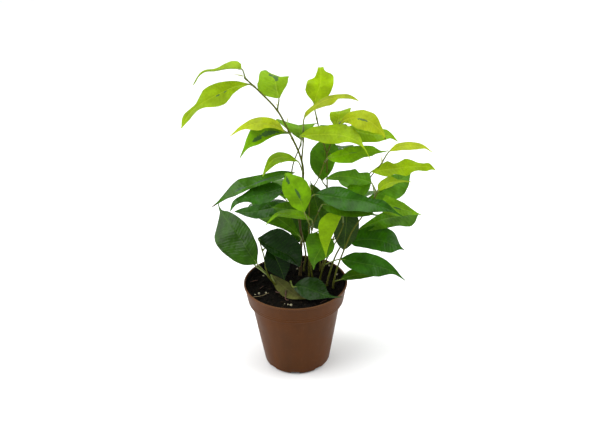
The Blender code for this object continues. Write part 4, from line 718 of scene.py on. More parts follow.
leafHabit = {"face": (0, 50), "fold": 8, "twist": 0, "wave": 0, "waves": 2, "phase": 0,
             "baseHalf": (0.5, 0.5), "tipHalf": (0.3, 0.3), "splash": (), "dryTip": 0, "shade": 1}
leafTones = {
    "lime": {"colour": (0.272, 0.418, 0.001), "finish": "young"},
    "yellowLime": {"colour": (0.390, 0.490, 0.006), "finish": "young"},
    "grass": {"colour": (0.215, 0.385, 0.001), "finish": "young"},
    "fresh": {"colour": (0.150, 0.330, 0.001), "finish": "middle"},
    "mid": {"colour": (0.055, 0.160, 0.001), "finish": "middle"},
    "aged": {"colour": (0.023, 0.078, 0.001), "finish": "old"},
    "deep": {"colour": (0.021, 0.095, 0.001), "finish": "old"},
    "dark": {"colour": (0.006, 0.032, 0.001), "finish": "old"},
    "withered": {"colour": (0.060, 0.066, 0.013), "finish": "withered"},
}
finishOrder = ["young", "middle", "old", "withered"]
bladeMake = {
    "stations": 46,
    "strips": (0.0, 0.03, 0.075, 0.16, 0.28, 0.42, 0.56, 0.70, 0.83, 0.93, 1.0),
    "thickness": 0.36,      # at the middle of a half
    "marginShare": 0.35,    # of that at the margin
    "end": 0.995,
    "leastHalf": 0.25,
    "shoulder": 0.93,       # outline of the plain leaves
    "early": 0.8,
    "blunt": 0.75,
    "tail": 0.75,
    "groove": 0.16,         # the midrib's channel above
    "ridge": 0.40,          # and its ridge below
    "ribHalf": 0.6,
    "quilt": 0.03,          # puffing between the side veins
    "hump": 0.55,           # slow unevenness, and how far it is from one to the next
    "humpSize": 24.0,
    "ragged": 0.022,
    "otherHalfPhase": 0.6 * math.pi,
    "twistStillAt": 0.3,
    "ahead": 0.03,          # how far the midrib's direction is measured each way
    "ribStep": 1.0,
    "shadeSpread": 0.03,
}


def plainHalf(alongs, leaf):
    # half widths of a leaf without edges of its own: an oval that runs out into a drip tip
    make = bladeMake
    inner = np.clip(alongs / make["shoulder"], 0, 1) ** make["early"]
    body = (4 * inner * (1 - inner)) ** make["blunt"]
    drip = make["tail"] * np.clip(1 - alongs, 0, 1) ** 0.9 * np.clip(alongs / 0.45, 0, 1)
    return leaf["width"] / 2 * (body ** 4 + drip ** 4) ** 0.25


def drawnHalf(alongs, leaf, column):
    # half widths through the leaf's own edge points, softened between them
    table = np.array([(0, *leaf["baseHalf"]), *leaf["edges"], (1, *leaf["tipHalf"])], float)
    fine = np.linspace(-0.1, 1.1, 241)
    soft = np.hanning(15)
    smooth = np.convolve(np.interp(fine, table[:, 0], table[:, column]), soft / soft.sum(), "same")
    return np.interp(alongs, fine, smooth)


def halfWidths(alongs, leaf):
    # along the blade, on its plus side and on its minus side
    if "edges" in leaf:
        halves = [drawnHalf(alongs, leaf, column) for column in (1, 2)]
    else:
        halves = [plainHalf(alongs, leaf)] * 2
    return [np.maximum(half, bladeMake["leastHalf"]) for half in halves]


def facingOf(leaf):
    bearing, height = (math.radians(value) for value in leaf["face"])
    return np.array([math.sin(bearing) * math.cos(height), -math.cos(bearing) * math.cos(height),
                     math.sin(height)])


def midribCurve(leaf):
    # through the leaf's own points, or one plain arch from base to tip
    if "edges" in leaf:
        return curveThrough(leaf["rib"], bladeMake["ribStep"])
    base, tip = np.array(leaf["rib"], float)
    ahead = unit(tip - base)
    facing = facingOf(leaf)
    up = unit(facing - np.dot(facing, ahead) * ahead)
    along = np.linspace(0, 1, 61)
    rise = 4 * along * (1 - along)
    return base + np.outer(along, tip - base) + np.outer(rise * leaf["arch"], up)


def midribPoints(along, leaf):
    curve = midribCurve(leaf)
    lengths = lengthsAlong(curve)
    wanted = np.clip(np.atleast_1d(along), 0, 1) * lengths[-1]
    return np.stack([np.interp(wanted, lengths, curve[:, axis]) for axis in range(3)], axis=-1)


def splashField(along, across, splashes):
    # 1 in the middle of a splash, falling in a straight slope to 0 at its rim and below 0 outside
    field = np.full(along.shape, -1.0)
    for place, aside, halfLong, halfWide in splashes:
        reach = np.hypot((along - place) / halfLong, (across - aside) / halfWide)
        field = np.maximum(field, 1.0 - reach)
    return field


def addBlade(pile, leaf, seed):
    make = bladeMake
    up = facingOf(leaf)
    strips = np.array([-value for value in make["strips"][:0:-1]] + list(make["strips"]))
    alongs = np.linspace(0, make["end"], make["stations"] + 1)
    places = midribPoints(alongs, leaf)
    ahead = midribPoints(alongs + make["ahead"], leaf) - midribPoints(alongs - make["ahead"], leaf)
    ahead = unitRows(ahead)
    normal = unitRows(up - (ahead @ up)[:, None] * ahead)
    across = np.cross(ahead, normal)
    turn = np.radians(leaf["twist"]) * (alongs - make["twistStillAt"])
    cosTurn, sinTurn = np.cos(turn)[:, None], np.sin(turn)[:, None]
    normal, across = normal * cosTurn - across * sinTurn, across * cosTurn + normal * sinTurn

    run = lengthsAlong(places)
    along, side = np.meshgrid(alongs, strips, indexing="ij")
    alongMm = np.broadcast_to(run[:, None], along.shape)
    ragged = np.array([[noise.noise(Vector((a * 7.0, math.copysign(1.0, s) * 3.7, seed))) for s in strips]
                       for a in alongs])
    plus, minus = halfWidths(alongs, leaf)
    half = np.where(side > 0, plus[:, None], minus[:, None]) * (1 + make["ragged"] * ragged)
    body = half / half.max()
    acrossMm = side * half
    fold = math.radians(leaf["fold"])
    lag = np.where(side > 0, 0.0, make["otherHalfPhase"])
    ripple = np.sin(2 * math.pi * leaf["waves"] * along + leaf["phase"] + lag)
    lift = np.abs(side) * half * math.sin(fold)
    lift = lift + leaf["wave"] * body * ripple * np.abs(side) ** 1.4
    size = make["humpSize"]
    humps = np.array([[noise.noise(Vector((m / size, w / size, seed + 31.7))) for m, w in zip(*row)]
                      for row in zip(alongMm, acrossMm)])
    lift = lift + make["hump"] * humps * body * 2
    lane = (alongMm - veinRun["slant"] * np.abs(acrossMm)) / (veinRun["gap"] * 1.6)
    inner = np.clip(np.abs(side) * 4, 0, 1) * (1 - np.abs(side) ** 4)    # neither the rib nor the margin
    puff = make["quilt"] * np.cos(2 * math.pi * lane) * inner
    lift = lift + puff * body
    surface = places[:, None, :] + across[:, None, :] * (acrossMm * math.cos(fold))[..., None]
    surface = surface + normal[:, None, :] * lift[..., None]

    skin = unitRows(np.cross(np.gradient(surface, axis=1), np.gradient(surface, axis=0)))
    thick = make["thickness"] / 2 * (1 - (1 - make["marginShare"]) * np.abs(side) ** 4)
    ribShape = np.exp(-(acrossMm / make["ribHalf"]) ** 2) * np.clip(1.15 - along, 0, 1)
    upper = surface + skin * (thick - make["groove"] * ribShape)[..., None]
    lower = surface - skin * (thick + make["ridge"] * ribShape)[..., None]

    rows, columns = along.shape
    count = rows * columns
    faces = []
    for row in range(rows - 1):
        for column in range(columns - 1):
            a = row * columns + column
            faces.append((a, a + 1, a + columns + 1, a + columns))
            faces.append((count + a + columns, count + a + columns + 1, count + a + 1, count + a))
    border = list(range(columns))
    border += [row * columns + columns - 1 for row in range(1, rows)]
    border += [(rows - 1) * columns + column for column in range(columns - 2, -1, -1)]
    border += [row * columns for row in range(rows - 2, 0, -1)]
    for first, second in zip(border, border[1:] + border[:1]):
        faces.append((first, second, count + second, count + first))

    draw = random.Random(seed)
    tone = leafTones[leaf["tone"]]
    spread = make["shadeSpread"]
    own = np.array(tone["colour"]) * leaf["shade"] * draw.uniform(1 - spread, 1 + spread)
    splash = splashField(along, side, leaf["splash"])
    dry = np.clip((along - (1 - leaf["dryTip"])) / max(leaf["dryTip"], 0.01), 0, 1)
    runMarks = np.stack([alongMm, acrossMm, np.full(along.shape, seed * 0.37)], axis=-1).reshape(-1, 3)
    spotUpper = np.stack([splash, dry, np.ones(along.shape)], axis=-1).reshape(-1, 3)
    spotLower = spotUpper * (1, 1, 0)
    addToPile(pile, np.vstack([upper.reshape(-1, 3), lower.reshape(-1, 3)]), faces,
              finishOrder.index(tone["finish"]), tone=own, run=np.vstack([runMarks, runMarks]),
              spot=np.vstack([spotUpper, spotLower]))


stemMake = {
    "surface": 85.5,       # the soil's height
    "rootDepth": 12.5,
    "rootCollar": 4.0,
    "step": 2.2,
    "sides": 10,
    "jointProud": 0.30,    # how far a leaf joint stands out, and its half length
    "jointHalf": 1.5,
    "flare": 0.45,
    "flareHigh": 3.0,
    "wander": 0.05,
    "woodyRadius": (0.80, 1.60),
    "woodyHigh": 140.0,    # a stem gets woodier towards the soil from this far above it
    "byRadius": 0.7,       # how woody its radius and its height can make it
    "byHeight": 0.3,
}
stalkMake = {
    "radius": (0.76, 0.60),
    "foot": 0.40,          # how much wider it is where it joins, and over what length
    "footHalf": 1.6,
    "sides": 8,
    "step": 1.2,
    "rise": 0.15,          # how far it leaves upwards
    "bend": (0.25, 0.14),  # length of its two bends, as shares of its reach
    "sinkShare": 0.08,     # how far it runs on under the blade
    "tipShare": 0.35,
    "turn": (0.75, 0.1),   # from the second colour, a painted shade where the stalk leaves its shoot, back to the first at the blade
}
budMake = {"sides": 8, "step": 0.7, "arch": 0.6, "tipRadius": 0.08, "turn": 0.8}


def shootCurve(shoot, rooted):
    route = list(shoot["route"])
    if rooted:
        x, y, _ = route[0]
        surface = stemMake["surface"]
        heights = (surface - stemMake["rootDepth"], surface, surface + stemMake["rootCollar"])
        route = [(x, y, height) for height in heights] + route[1:]
    return curveThrough(route, stemMake["step"])


def pointAtHeight(curve, height):
    for low, high in zip(curve, curve[1:]):
        if low[2] <= height <= high[2]:
            return low + (height - low[2]) / max(high[2] - low[2], 1e-9) * (high - low)
    return curve[-1]


def addWood(pile, curve, radius, sides, slot, woody):
    points, faces = tubeMesh(curve, radius, sides)
    addToPile(pile, points, faces, slot, woody=np.repeat(woody, sides)[:, None])


def addShoot(pile, curve, radii, joints, seed, rooted):
    # a stem with a swollen ring at each leaf joint and a slight wander
    lengths = lengthsAlong(curve)
    radius = np.linspace(radii[0], radii[1], len(curve))
    low, high = stemMake["woodyRadius"]
    woody = np.clip((radius - low) / (high - low), 0, 1) * stemMake["byRadius"]
    above = curve[:, 2] - stemMake["surface"]
    woody += stemMake["byHeight"] * np.clip(1 - above / stemMake["woodyHigh"], 0, 1)
    for joint in joints:
        nearest = lengths[np.argmin(np.linalg.norm(curve - joint, axis=1))]
        radius = radius + stemMake["jointProud"] * np.exp(-((lengths - nearest) / stemMake["jointHalf"]) ** 2)
    if rooted:
        radius = radius + stemMake["flare"] * np.exp(-np.abs(above) / stemMake["flareHigh"])
    drift = np.array([[noise.noise(Vector((run * 0.09, axis * 5.1, seed))) for axis in range(3)]
                      for run in lengths])
    addWood(pile, curve + drift * stemMake["wander"], radius, stemMake["sides"], 0, woody)


def bent(corners, t):
    # a point on the smooth bend that four corners steer
    shares = (1 - t) ** 3, 3 * t * (1 - t) ** 2, 3 * t ** 2 * (1 - t), t ** 3
    return sum(share * corner for share, corner in zip(shares, corners))


def addStalk(pile, leaf, curve):
    # the leaf stalk, from the shoot's axis to its blade, where it runs on as the midrib
    root = pointAtHeight(curve, leaf["joins"])
    base = midribPoints(0.0, leaf)[0]
    ahead = unit(midribPoints(0.01, leaf)[0] - base)
    reach = np.linalg.norm(base - root)
    leaving = unit((1 - stalkMake["rise"]) * unit(base - root) + stalkMake["rise"] * np.array((0, 0, 1)))
    up = facingOf(leaf)
    up = unit(up - np.dot(up, ahead) * ahead)
    below = up * stalkMake["radius"][1] * 0.75
    first, second = (share * reach for share in stalkMake["bend"])
    corners = [root, root + leaving * first, base - below - ahead * second, base - below]
    count = max(round(reach / stalkMake["step"]), 4)
    path = [bent(corners, t) for t in np.linspace(0, 1, count + 1)]
    for share in np.linspace(0, stalkMake["sinkShare"], 4)[1:]:
        path.append(midribPoints(share, leaf)[0] - below)
    path = np.array(path)
    lengths = lengthsAlong(path)
    radius = np.linspace(stalkMake["radius"][0], stalkMake["radius"][1], len(path))
    radius = radius + stalkMake["foot"] * np.exp(-(lengths / stalkMake["footHalf"]) ** 2)
    radius[-1] *= stalkMake["tipShare"]
    addWood(pile, path, radius, stalkMake["sides"], 1, np.linspace(*stalkMake["turn"], len(path)))


def addBud(pile, bud):
    # a pointed sheath at a shoot's tip, or beside a leaf joint
    root, tip = np.array(bud["root"], float), np.array(bud["tip"], float)
    middle = (root + tip) / 2 + np.array((0, 0, budMake["arch"]))
    path = curveThrough([root, middle, tip], budMake["step"])
    share = np.linspace(0, 1, len(path))
    belly = 0.75 + 0.6 * np.sin(math.pi * np.clip(share * 1.6, 0, 1))
    radius = bud["radius"] * belly * (1 - share) ** 0.8 + budMake["tipRadius"]
    addWood(pile, path, radius, budMake["sides"], 2, share * budMake["turn"])


def buildLeafyStem(plant, firstSeed):
    leaves = [{"shoot": plant["name"], **leafHabit, **leaf} for leaf in plant["leaves"]]
    wood, blades = newPile(), newPile()
    curves = {}
    for number, (name, shoot) in enumerate(plant["shoots"].items()):
        rooted = number == 0
        curves[name] = shootCurve(shoot, rooted)
        own = [leaf for leaf in leaves if leaf["shoot"] == name]
        joints = [pointAtHeight(curves[name], leaf["joins"]) for leaf in own]
        addShoot(wood, curves[name], shoot["radius"], joints, firstSeed + number * 0.7, rooted)
    for number, leaf in enumerate(leaves):
        addBlade(blades, leaf, firstSeed + number)
        addStalk(wood, leaf, curves[leaf["shoot"]])
    for bud in plant.get("buds", []):
        addBud(wood, bud)
    makePiece(plant["name"] + "Stem", wood, stemMaterials, [plant["node"]])
    makePiece(plant["name"] + "Leaves", blades, [leafMaterials[name] for name in finishOrder],
              [plant["node"]])


for plantNumber, plant in enumerate(leafyStems):
    buildLeafyStem(plant, 20 * plantNumber + 3)
print("leafy stems built:", len(leafyStems))

potMake = {
    "height": 92.0, "rimRadius": 52.5, "rimWall": 1.5, "collarHeight": 20.0, "collarFoot": 48.5,
    "shoulder": 45.2, "shoulderDrop": 1.2, "foot": 33.5, "chamfer": 2.2, "wall": 1.3, "floor": 1.8,
    "bead": 2.0, "beadProud": 0.4, "ringsAt": (77.2, 74.6), "ringDepth": 0.28, "ringHalf": 0.55,
    "segments": 168, "arcSteps": 4,
    "drains": 8, "drainWidth": 9.0, "drainHeight": 3.2, "drainReach": 7.0, "drainFirst": -95.0,
    "drainRound": 0.9, "cutPast": 3.0, "sharpAngle": 35.0,
}
potLook = {"plastic": (0.060, 0.0185, 0.0020), "warm": (0.073, 0.0222, 0.0030), "dustAndHighlight": (0.17, 0.090, 0.045),
           # the near-black colour for the inner face stands for soil on it and for painted shade
           "soilAndShade": (0.0035, 0.0026, 0.0018), "roughness": (0.42, 0.56), "gloss": 0.10,
           "lipHighlight": 0.30, "wallDust": 0.16,
           # in mm: where the painted highlight on the lip fades in; the middle of the collar's wall at the
           # shoulder, and how much wider it is for each mm up; from where to where the inner face is darkened
           # with soil and painted shade, and how raggedly
           "lipFrom": (90.5, 91.8), "wallMiddle": 47.8, "wallSlope": 0.18,
           "soilAndShadeFrom": 80.0, "soilAndShadeTo": (91.9, 91.2), "soilAndShadeRagged": 0.8,
           # noise scales, per metre
           "patches": 28.0, "streaks": 120.0, "grain": 1500.0, "dustSpecks": 210.0, "lines": 900.0}


def collarHeights():
    # where the collar starts, and where the ledge below it meets the body
    shoulder = potMake["height"] - potMake["collarHeight"]
    return shoulder, shoulder - potMake["shoulderDrop"]


def rounded(corners, arcSteps):
    # an outline with each corner (radius, height, rounding) turned into a short curve
    outline = []
    for number, (radius, height, rounding) in enumerate(corners):
        here = np.array((radius, height))
        if rounding == 0 or number in (0, len(corners) - 1):
            outline.append(here)
            continue
        before = np.array(corners[number - 1][:2]) - here
        after = np.array(corners[number + 1][:2]) - here
        start = here + unit(before) * min(rounding, np.linalg.norm(before) * 0.45)
        end = here + unit(after) * min(rounding, np.linalg.norm(after) * 0.45)
        for t in np.linspace(0, 1, arcSteps + 1):
            outline.append((1 - t) ** 2 * start + 2 * t * (1 - t) * here + t ** 2 * end)
    return outline


def turnedFaces(rings, segments):
    # joins the first point, the rings and the last point
    faces = []
    last = 1 + (rings - 1) * segments
    for step in range(segments):
        after = (step + 1) % segments
        faces.append((0, 1 + after, 1 + step))
        for low in range(1, last, segments):
            faces.append((low + step, low + after, low + segments + after, low + segments + step))
        faces.append((last + segments, last + step, last + after))
    return faces


def turned(pile, outline, segments, slot=0):
    # a closed turned solid, whose outline starts and ends on the axis
    angles = 2.0 * math.pi * np.arange(segments) / segments
    points = [(0.0, 0.0, outline[0][1])]
    for radius, height in outline[1:-1]:
        points.extend(np.stack([radius * np.cos(angles), radius * np.sin(angles),
                                np.full(segments, height)], axis=-1).tolist())
    points.append((0.0, 0.0, outline[-1][1]))
    addToPile(pile, points, turnedFaces(len(outline) - 2, segments), slot)


def cutWith(piece, cutters):
    # takes the cutters out of the piece, for good
    folder = bpy.data.collections.new("cutters")
    bpy.context.scene.collection.children.link(folder)
    for cutter in cutters:
        folder.objects.link(cutter)
    modifier = piece.modifiers.new("cut", "BOOLEAN")
    modifier.operation = "DIFFERENCE"
    modifier.operand_type = "COLLECTION"
    modifier.collection = folder
    bpy.context.view_layer.update()
    made = bpy.data.meshes.new_from_object(piece.evaluated_get(bpy.context.evaluated_depsgraph_get()))
    piece.modifiers.remove(modifier)
    piece.data = made
    for cutter in cutters:
        bpy.data.objects.remove(cutter, do_unlink=True)
    bpy.data.collections.remove(folder)


def drainCutter(number):
    # a rounded block across the edge of the pot's foot
    make = potMake
    bearing = math.radians(make["drainFirst"] + 360.0 * number / make["drains"])
    spread = (make["drainReach"] + make["cutPast"], make["drainWidth"], make["drainHeight"] * 2)
    middle = make["foot"] + (make["cutPast"] - make["drainReach"]) / 2
    shape = bmesh.new()
    bmesh.ops.create_cube(shape, size=1.0)
    bmesh.ops.scale(shape, vec=[value * mm for value in spread], verts=shape.verts)
    bmesh.ops.bevel(shape, geom=shape.edges[:], offset=make["drainRound"] * mm, segments=3, affect="EDGES",
                    profile=0.5)
    bmesh.ops.translate(shape, vec=(middle * mm, 0, 0), verts=shape.verts)
    bmesh.ops.rotate(shape, cent=(0, 0, 0), matrix=Matrix.Rotation(bearing, 3, "Z"), verts=shape.verts)
    mesh = bpy.data.meshes.new("drain%d" % number)
    shape.to_mesh(mesh)
    shape.free()
    return bpy.data.objects.new("drain%d" % number, mesh)


def potMaterial():
    look = potLook
    material, tree, shader, place = newMaterial("potPlastic")
    parts = newNode(tree, "ShaderNodeSeparateXYZ", {"Vector": place})
    stretched = newNode(tree, "ShaderNodeMapping", {"Vector": place, "Scale": (1.0, 1.0, 0.12)})
    patch = cloud(tree, place, look["patches"], 4.0)
    streak = cloud(tree, stretched.outputs[0], look["streaks"], 3.0)
    grain = cloud(tree, place, look["grain"], 2.0)
    skin = mixColours(tree, stepBetween(tree, patch, 0.3, 0.7), colour(*look["plastic"]),
                      colour(*look["warm"]))
    skin = tint(tree, skin, stepBetween(tree, streak, 0.25, 0.75, 0.93, 1.07))
    skin = tint(tree, skin, stepBetween(tree, grain, 0.25, 0.75, 0.95, 1.05))
    specks = cloud(tree, place, look["dustSpecks"], 5.0, 0.7)
    dusty = maths(tree, "MULTIPLY", stepBetween(tree, specks, 0.58, 0.74), look["wallDust"])
    skin = mixColours(tree, dusty, skin, colour(*look["dustAndHighlight"]))
    height = parts.outputs[2]
    # painted highlight: the top of the lip is lightened towards the dust colour
    low, high = look["lipFrom"]
    lip = stepBetween(tree, height, low * mm, high * mm, 0.0, look["lipHighlight"])
    skin = mixColours(tree, lip, skin, colour(*look["dustAndHighlight"]))

    # the inner face above the soil is darkened nearly up to the lip: soil smeared on it, and painted shade
    shoulder, _ = collarHeights()
    rise = maths(tree, "SUBTRACT", height, shoulder * mm)
    middle = maths(tree, "ADD", maths(tree, "MULTIPLY", rise, look["wallSlope"]), look["wallMiddle"] * mm)
    reach = newNode(tree, "ShaderNodeVectorMath", {0: place, 1: (1.0, 1.0, 0.0)}, operation="MULTIPLY")
    reach = newNode(tree, "ShaderNodeVectorMath", {0: reach.outputs[0]}, operation="LENGTH").outputs["Value"]
    inside = maths(tree, "MULTIPLY", maths(tree, "LESS_THAN", reach, middle),
                   maths(tree, "GREATER_THAN", height, look["soilAndShadeFrom"] * mm))
    soilAndShadeLine = maths(tree, "ADD", height, maths(tree, "MULTIPLY", patch, look["soilAndShadeRagged"] * mm))
    low, high = look["soilAndShadeTo"]
    inside = maths(tree, "MULTIPLY", inside, stepBetween(tree, soilAndShadeLine, low * mm, high * mm))
    skin = mixColours(tree, inside, skin, colour(*look["soilAndShade"]))
    tree.links.new(skin, shader.inputs["Base Color"])
    tree.links.new(stepBetween(tree, patch, 0.3, 0.7, *look["roughness"]), shader.inputs["Roughness"])
    shader.inputs["Specular IOR Level"].default_value = look["gloss"]
    turning = newNode(tree, "ShaderNodeMapping", {"Vector": place, "Scale": (0.02, 0.02, 1.0)})
    lines = cloud(tree, turning.outputs[0], look["lines"], 2.0)
    relief = maths(tree, "ADD", maths(tree, "MULTIPLY", grain, 0.35), maths(tree, "MULTIPLY", lines, 0.4))
    tree.links.new(bumpOf(tree, relief, 0.10, 0.7), shader.inputs["Normal"])
    return material


def buildPot():
    make = potMake
    shoulder, ledge = collarHeights()
    rim = make["rimRadius"]

    def collarRadius(height):
        return make["collarFoot"] + (height - shoulder) / make["collarHeight"] * (rim - make["collarFoot"])

    corners = [(0.0, 0.0, 0), (make["foot"] - make["chamfer"], 0.0, 0.7),
               (make["foot"], make["chamfer"], 1.3), (make["shoulder"], ledge, 1.0),
               (make["collarFoot"], shoulder, 1.9)]
    for height in sorted(make["ringsAt"]):
        corners.append((collarRadius(height - make["ringHalf"]), height - make["ringHalf"], 0.3))
        corners.append((collarRadius(height) - make["ringDepth"], height, 0.3))
        corners.append((collarRadius(height + make["ringHalf"]), height + make["ringHalf"], 0.3))
    beadFoot = make["height"] - make["bead"]
    corners += [(collarRadius(beadFoot) - make["beadProud"], beadFoot - 0.3, 0.3), (rim, beadFoot + 0.3, 0.5),
                (rim, make["height"], 0.6), (rim - make["rimWall"], make["height"], 0.5),
                (make["collarFoot"] - make["wall"], shoulder, 0.8),
                (make["shoulder"] - make["wall"], ledge, 0.6),
                (make["foot"] - make["wall"], make["floor"], 1.0), (0.0, make["floor"], 0)]
    pile = newPile()
    turned(pile, rounded(corners, make["arcSteps"]), make["segments"])
    pot = makePiece("pot.shell", pile, [potMaterial()], ["pot"])
    cutWith(pot, [drainCutter(number) for number in range(make["drains"])])
    pot.data.shade_smooth()
    pot.data.set_sharp_from_angle(angle=math.radians(make["sharpAngle"]))


buildPot()
print("pot built")

soilMake = {
    "surface": stemMake["surface"], "touchGap": 0.35, "rings": 60, "spokes": 150,
    "lumps": ((13.0, 1.0), (5.0, 0.8), (2.0, 0.45)),    # size of each kind of lump, and its height
    "bank": 3.4, "bankWidth": 7.0,     # how far the soil climbs at the wall, and over what width
    "crumbs": 1100, "crumbRadius": (0.35, 1.4), "seed": 7,
    "perlite": [(-41, -14, 0.75), (-37, -12.5, 1.1), (-30, -10.5, 1.0), (-8, -34, 0.8), (-5, -35.5, 1.1),
                (-11.5, -32, 0.55), (-41, 31, 0.6), (22, 46, 1.1), (-14, 40, 1.3), (-33, 22, 0.8),
                (43, 18, 0.9), (2, 35, 0.8), (-20, 33, 1.0), (12, -44, 0.6), (36, 34, 1.2)],
    # where a bit of twig starts and ends, how high it lies, and its radius
    "twigs": [((-20.5, -12, 1.4), (-15.5, -14.5, 2.0), 0.75),
              ((-9.8, -13.5, 4.6), (-10.6, -25.5, 1.2), 0.75),
              ((-10.5, -25, 1.2), (-7.8, -29, 1.6), 0.6), ((-46, 8, 1.0), (-39, 12, 1.3), 0.5),
              ((24, -33, 1.0), (30, -29, 1.4), 0.5), ((-24, 30, 1.0), (-17, 36, 1.4), 0.6),
              ((4, 42, 1.0), (10, 46, 1.5), 0.5), ((-36, -4, 1.0), (-33, 1, 1.2), 0.4)],
    "twigSides": 7, "twigStep": 0.8, "twigWander": 0.6,
    "rootlet": [(-43, -20.5, 1.0), (-39, -19, 1.6), (-34, -17, 1.5), (-29.5, -14, 1.8), (-27, -12, 1.2)],
    "rootletRadius": (0.32, 0.18), "rootletSides": 6, "rootletSunk": 0.6,
}
soilLook = {
    "peat": (0.0016, 0.0013, 0.0008), "brown": (0.0060, 0.0042, 0.0024), "fibre": (0.022, 0.015, 0.008),
    "roughness": (0.75, 0.95), "gloss": 0.06, "patches": 260.0, "fine": 1400.0,
    "perlite": ((0.20, 0.18, 0.10), (0.42, 0.39, 0.26)),
    "redTwig": ((0.032, 0.010, 0.005), (0.085, 0.032, 0.014)),
    "paleRootlet": ((0.20, 0.15, 0.07), (0.32, 0.26, 0.13)),
    "grainPatches": 700.0, "grainRoughness": 0.8,
}


def potInner(height):
    # radius of the pot's inner face at a height
    make = potMake
    shoulder, ledge = collarHeights()
    if height >= shoulder:
        low, high = make["collarFoot"] - make["wall"], make["rimRadius"] - make["rimWall"]
        return low + (height - shoulder) / make["collarHeight"] * (high - low)
    low, high = make["foot"] - make["wall"], make["shoulder"] - make["wall"]
    return low + (min(height, ledge) - make["floor"]) / (ledge - make["floor"]) * (high - low)


def soilHeight(x, y):
    reach = math.hypot(x, y) / potInner(soilMake["surface"])
    wall = max(1 - (1 - reach) * potInner(soilMake["surface"]) / soilMake["bankWidth"], 0.0)
    height = soilMake["surface"] + soilMake["bank"] * wall ** 2
    for size, lift in soilMake["lumps"]:
        height += lift * noise.noise(Vector((x / size, y / size, size)))
    return height


def soilMaterial(name, dark, light, specks):
    material, tree, shader, place = newMaterial(name)
    patch = cloud(tree, place, soilLook["patches"], 5.0, 0.7)
    fine = cloud(tree, place, soilLook["fine"], 3.0, 0.7)
    skin = mixColours(tree, stepBetween(tree, patch, 0.38, 0.72), colour(*dark), colour(*light))
    fibres = stepBetween(tree, fine, 0.66, 0.78, 0.0, specks)
    skin = mixColours(tree, fibres, skin, colour(*soilLook["fibre"]))
    tree.links.new(skin, shader.inputs["Base Color"])
    tree.links.new(stepBetween(tree, fine, 0.3, 0.7, *soilLook["roughness"]), shader.inputs["Roughness"])
    shader.inputs["Specular IOR Level"].default_value = soilLook["gloss"]
    tree.links.new(bumpOf(tree, maths(tree, "ADD", patch, fine), 0.5, 0.9), shader.inputs["Normal"])
    return material


def grainMaterial(name):
    first, second = soilLook[name]
    material, tree, shader, place = newMaterial(name)
    patch = cloud(tree, place, soilLook["grainPatches"], 4.0, 0.65)
    skin = mixColours(tree, stepBetween(tree, patch, 0.35, 0.70), colour(*first), colour(*second))
    tree.links.new(skin, shader.inputs["Base Color"])
    shader.inputs["Roughness"].default_value = soilLook["grainRoughness"]
    tree.links.new(bumpOf(tree, patch, 0.3, 0.9), shader.inputs["Normal"])
    return material


def lumpMesh(draw, centre, radius, squash=0.75, rough=0.28, subdivisions=1):
    # an irregular grain
    shape = bmesh.new()
    bmesh.ops.create_icosphere(shape, subdivisions=subdivisions + 1, radius=1.0)
    offset = Vector([draw.uniform(-50, 50) for _ in range(3)])
    wide = [draw.uniform(0.75, 1.3) for _ in range(2)]
    stretch = Vector((*wide, draw.uniform(squash * 0.8, squash * 1.2)))
    turn = Matrix.Rotation(draw.uniform(0, 6.28), 3, "Z") @ Matrix.Rotation(draw.uniform(-0.5, 0.5), 3, "X")
    points = []
    for vertex in shape.verts:
        place = vertex.co * (1 + rough * 2 * noise.noise(vertex.co * 1.3 + offset))
        place = turn @ Vector([a * b for a, b in zip(place, stretch)])
        points.append(np.array(centre) + np.array(place) * radius)
    faces = [tuple(vertex.index for vertex in face.verts) for face in shape.faces]
    shape.free()
    return points, faces


def addSoilBody(pile, reach):
    # the bumpy top, and the sides and bottom along the inside of the pot
    make = soilMake
    angles = 2.0 * math.pi * np.arange(make["spokes"]) / make["spokes"]
    bottomHeight = potMake["floor"] + make["touchGap"]
    _, ledge = collarHeights()
    points = [(0.0, 0.0, soilHeight(0, 0))]
    for ring in range(1, make["rings"] + 1):
        radius = reach * ring / make["rings"]
        for angle in angles:
            x, y = radius * math.cos(angle), radius * math.sin(angle)
            points.append((x, y, soilHeight(x, y)))
    walls = [(potInner(ledge + 2) - make["touchGap"], ledge + 2), (potInner(ledge) - make["touchGap"], ledge),
             (potInner(bottomHeight) - make["touchGap"], bottomHeight)]
    for radius, height in walls:
        for angle in angles:
            points.append((radius * math.cos(angle), radius * math.sin(angle), height))
    points.append((0.0, 0.0, bottomHeight))
    addToPile(pile, points, turnedFaces(make["rings"] + len(walls), make["spokes"]), 0)


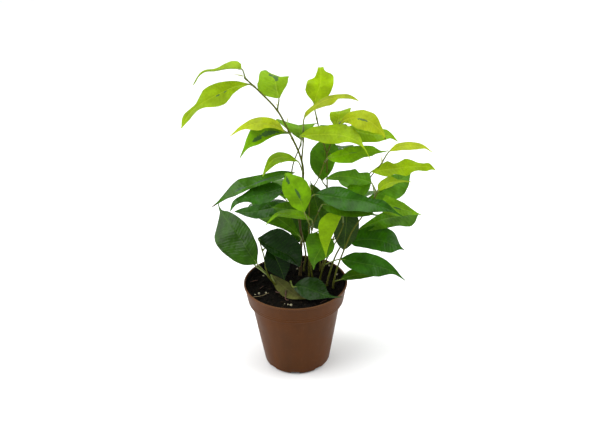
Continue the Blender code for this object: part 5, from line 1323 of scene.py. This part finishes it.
def addCrumbs(pile, reach, draw):
    make = soilMake
    for _ in range(make["crumbs"]):
        angle, share = draw.uniform(0, 2 * math.pi), math.sqrt(draw.uniform(0, 1))
        low, high = make["crumbRadius"]
        radius = low + (high - low) * draw.uniform(0, 1) ** 2.2
        x = (reach - radius) * share * math.cos(angle)
        y = (reach - radius) * share * math.sin(angle)
        centre = (x, y, soilHeight(x, y) + radius * draw.uniform(-0.1, 0.45))
        points, faces = lumpMesh(draw, centre, radius)
        addToPile(pile, points, faces, draw.choice((0, 0, 1)))


def addDebris(pile, draw):
    # bits of twig in the first slot, one pale rootlet in the second
    make = soilMake
    for start, end, radius in make["twigs"]:
        ends = [np.array((x, y, soilHeight(x, y) + lift)) for x, y, lift in (start, end)]
        drift = np.array([draw.uniform(-make["twigWander"], make["twigWander"]) for _ in range(3)])
        path = curveThrough([ends[0], (ends[0] + ends[1]) / 2 + drift, ends[1]], make["twigStep"])
        swell = [radius * (0.75 + 0.5 * abs(noise.noise(Vector((step * 0.6, radius, 3.3)))))
                 for step in range(len(path))]
        points, faces = tubeMesh(path, swell, make["twigSides"])
        addToPile(pile, points, faces, 0)
    route = [(x, y, soilHeight(x, y) + lift - make["rootletSunk"]) for x, y, lift in make["rootlet"]]
    path = curveThrough(route, make["twigStep"])
    points, faces = tubeMesh(path, np.linspace(*make["rootletRadius"], len(path)), make["rootletSides"])
    addToPile(pile, points, faces, 1)


def buildSoil():
    reach = potInner(soilMake["surface"]) - soilMake["touchGap"]
    draw = random.Random(soilMake["seed"])
    pile = newPile()
    addSoilBody(pile, reach)
    addCrumbs(pile, reach, draw)
    materials = [soilMaterial("dampPeat", soilLook["peat"], soilLook["brown"], 0.35),
                 soilMaterial("drierPeat", soilLook["brown"], soilLook["fibre"], 0.5)]
    makePiece("soil.bed", pile, materials, ["soil"], sharpAngle=75.0)

    grains = newPile()
    for x, y, radius in soilMake["perlite"]:
        points, faces = lumpMesh(draw, (x, y, soilHeight(x, y) + radius * 0.35), radius, 0.8, 0.35, 2)
        addToPile(grains, points, faces, 0)
    makePiece("soil.perlite", grains, [grainMaterial("perlite")], sharpAngle=75.0)

    bits = newPile()
    addDebris(bits, draw)
    makePiece("soil.debris", bits, [grainMaterial("redTwig"), grainMaterial("paleRootlet")])


buildSoil()
print("soil built")
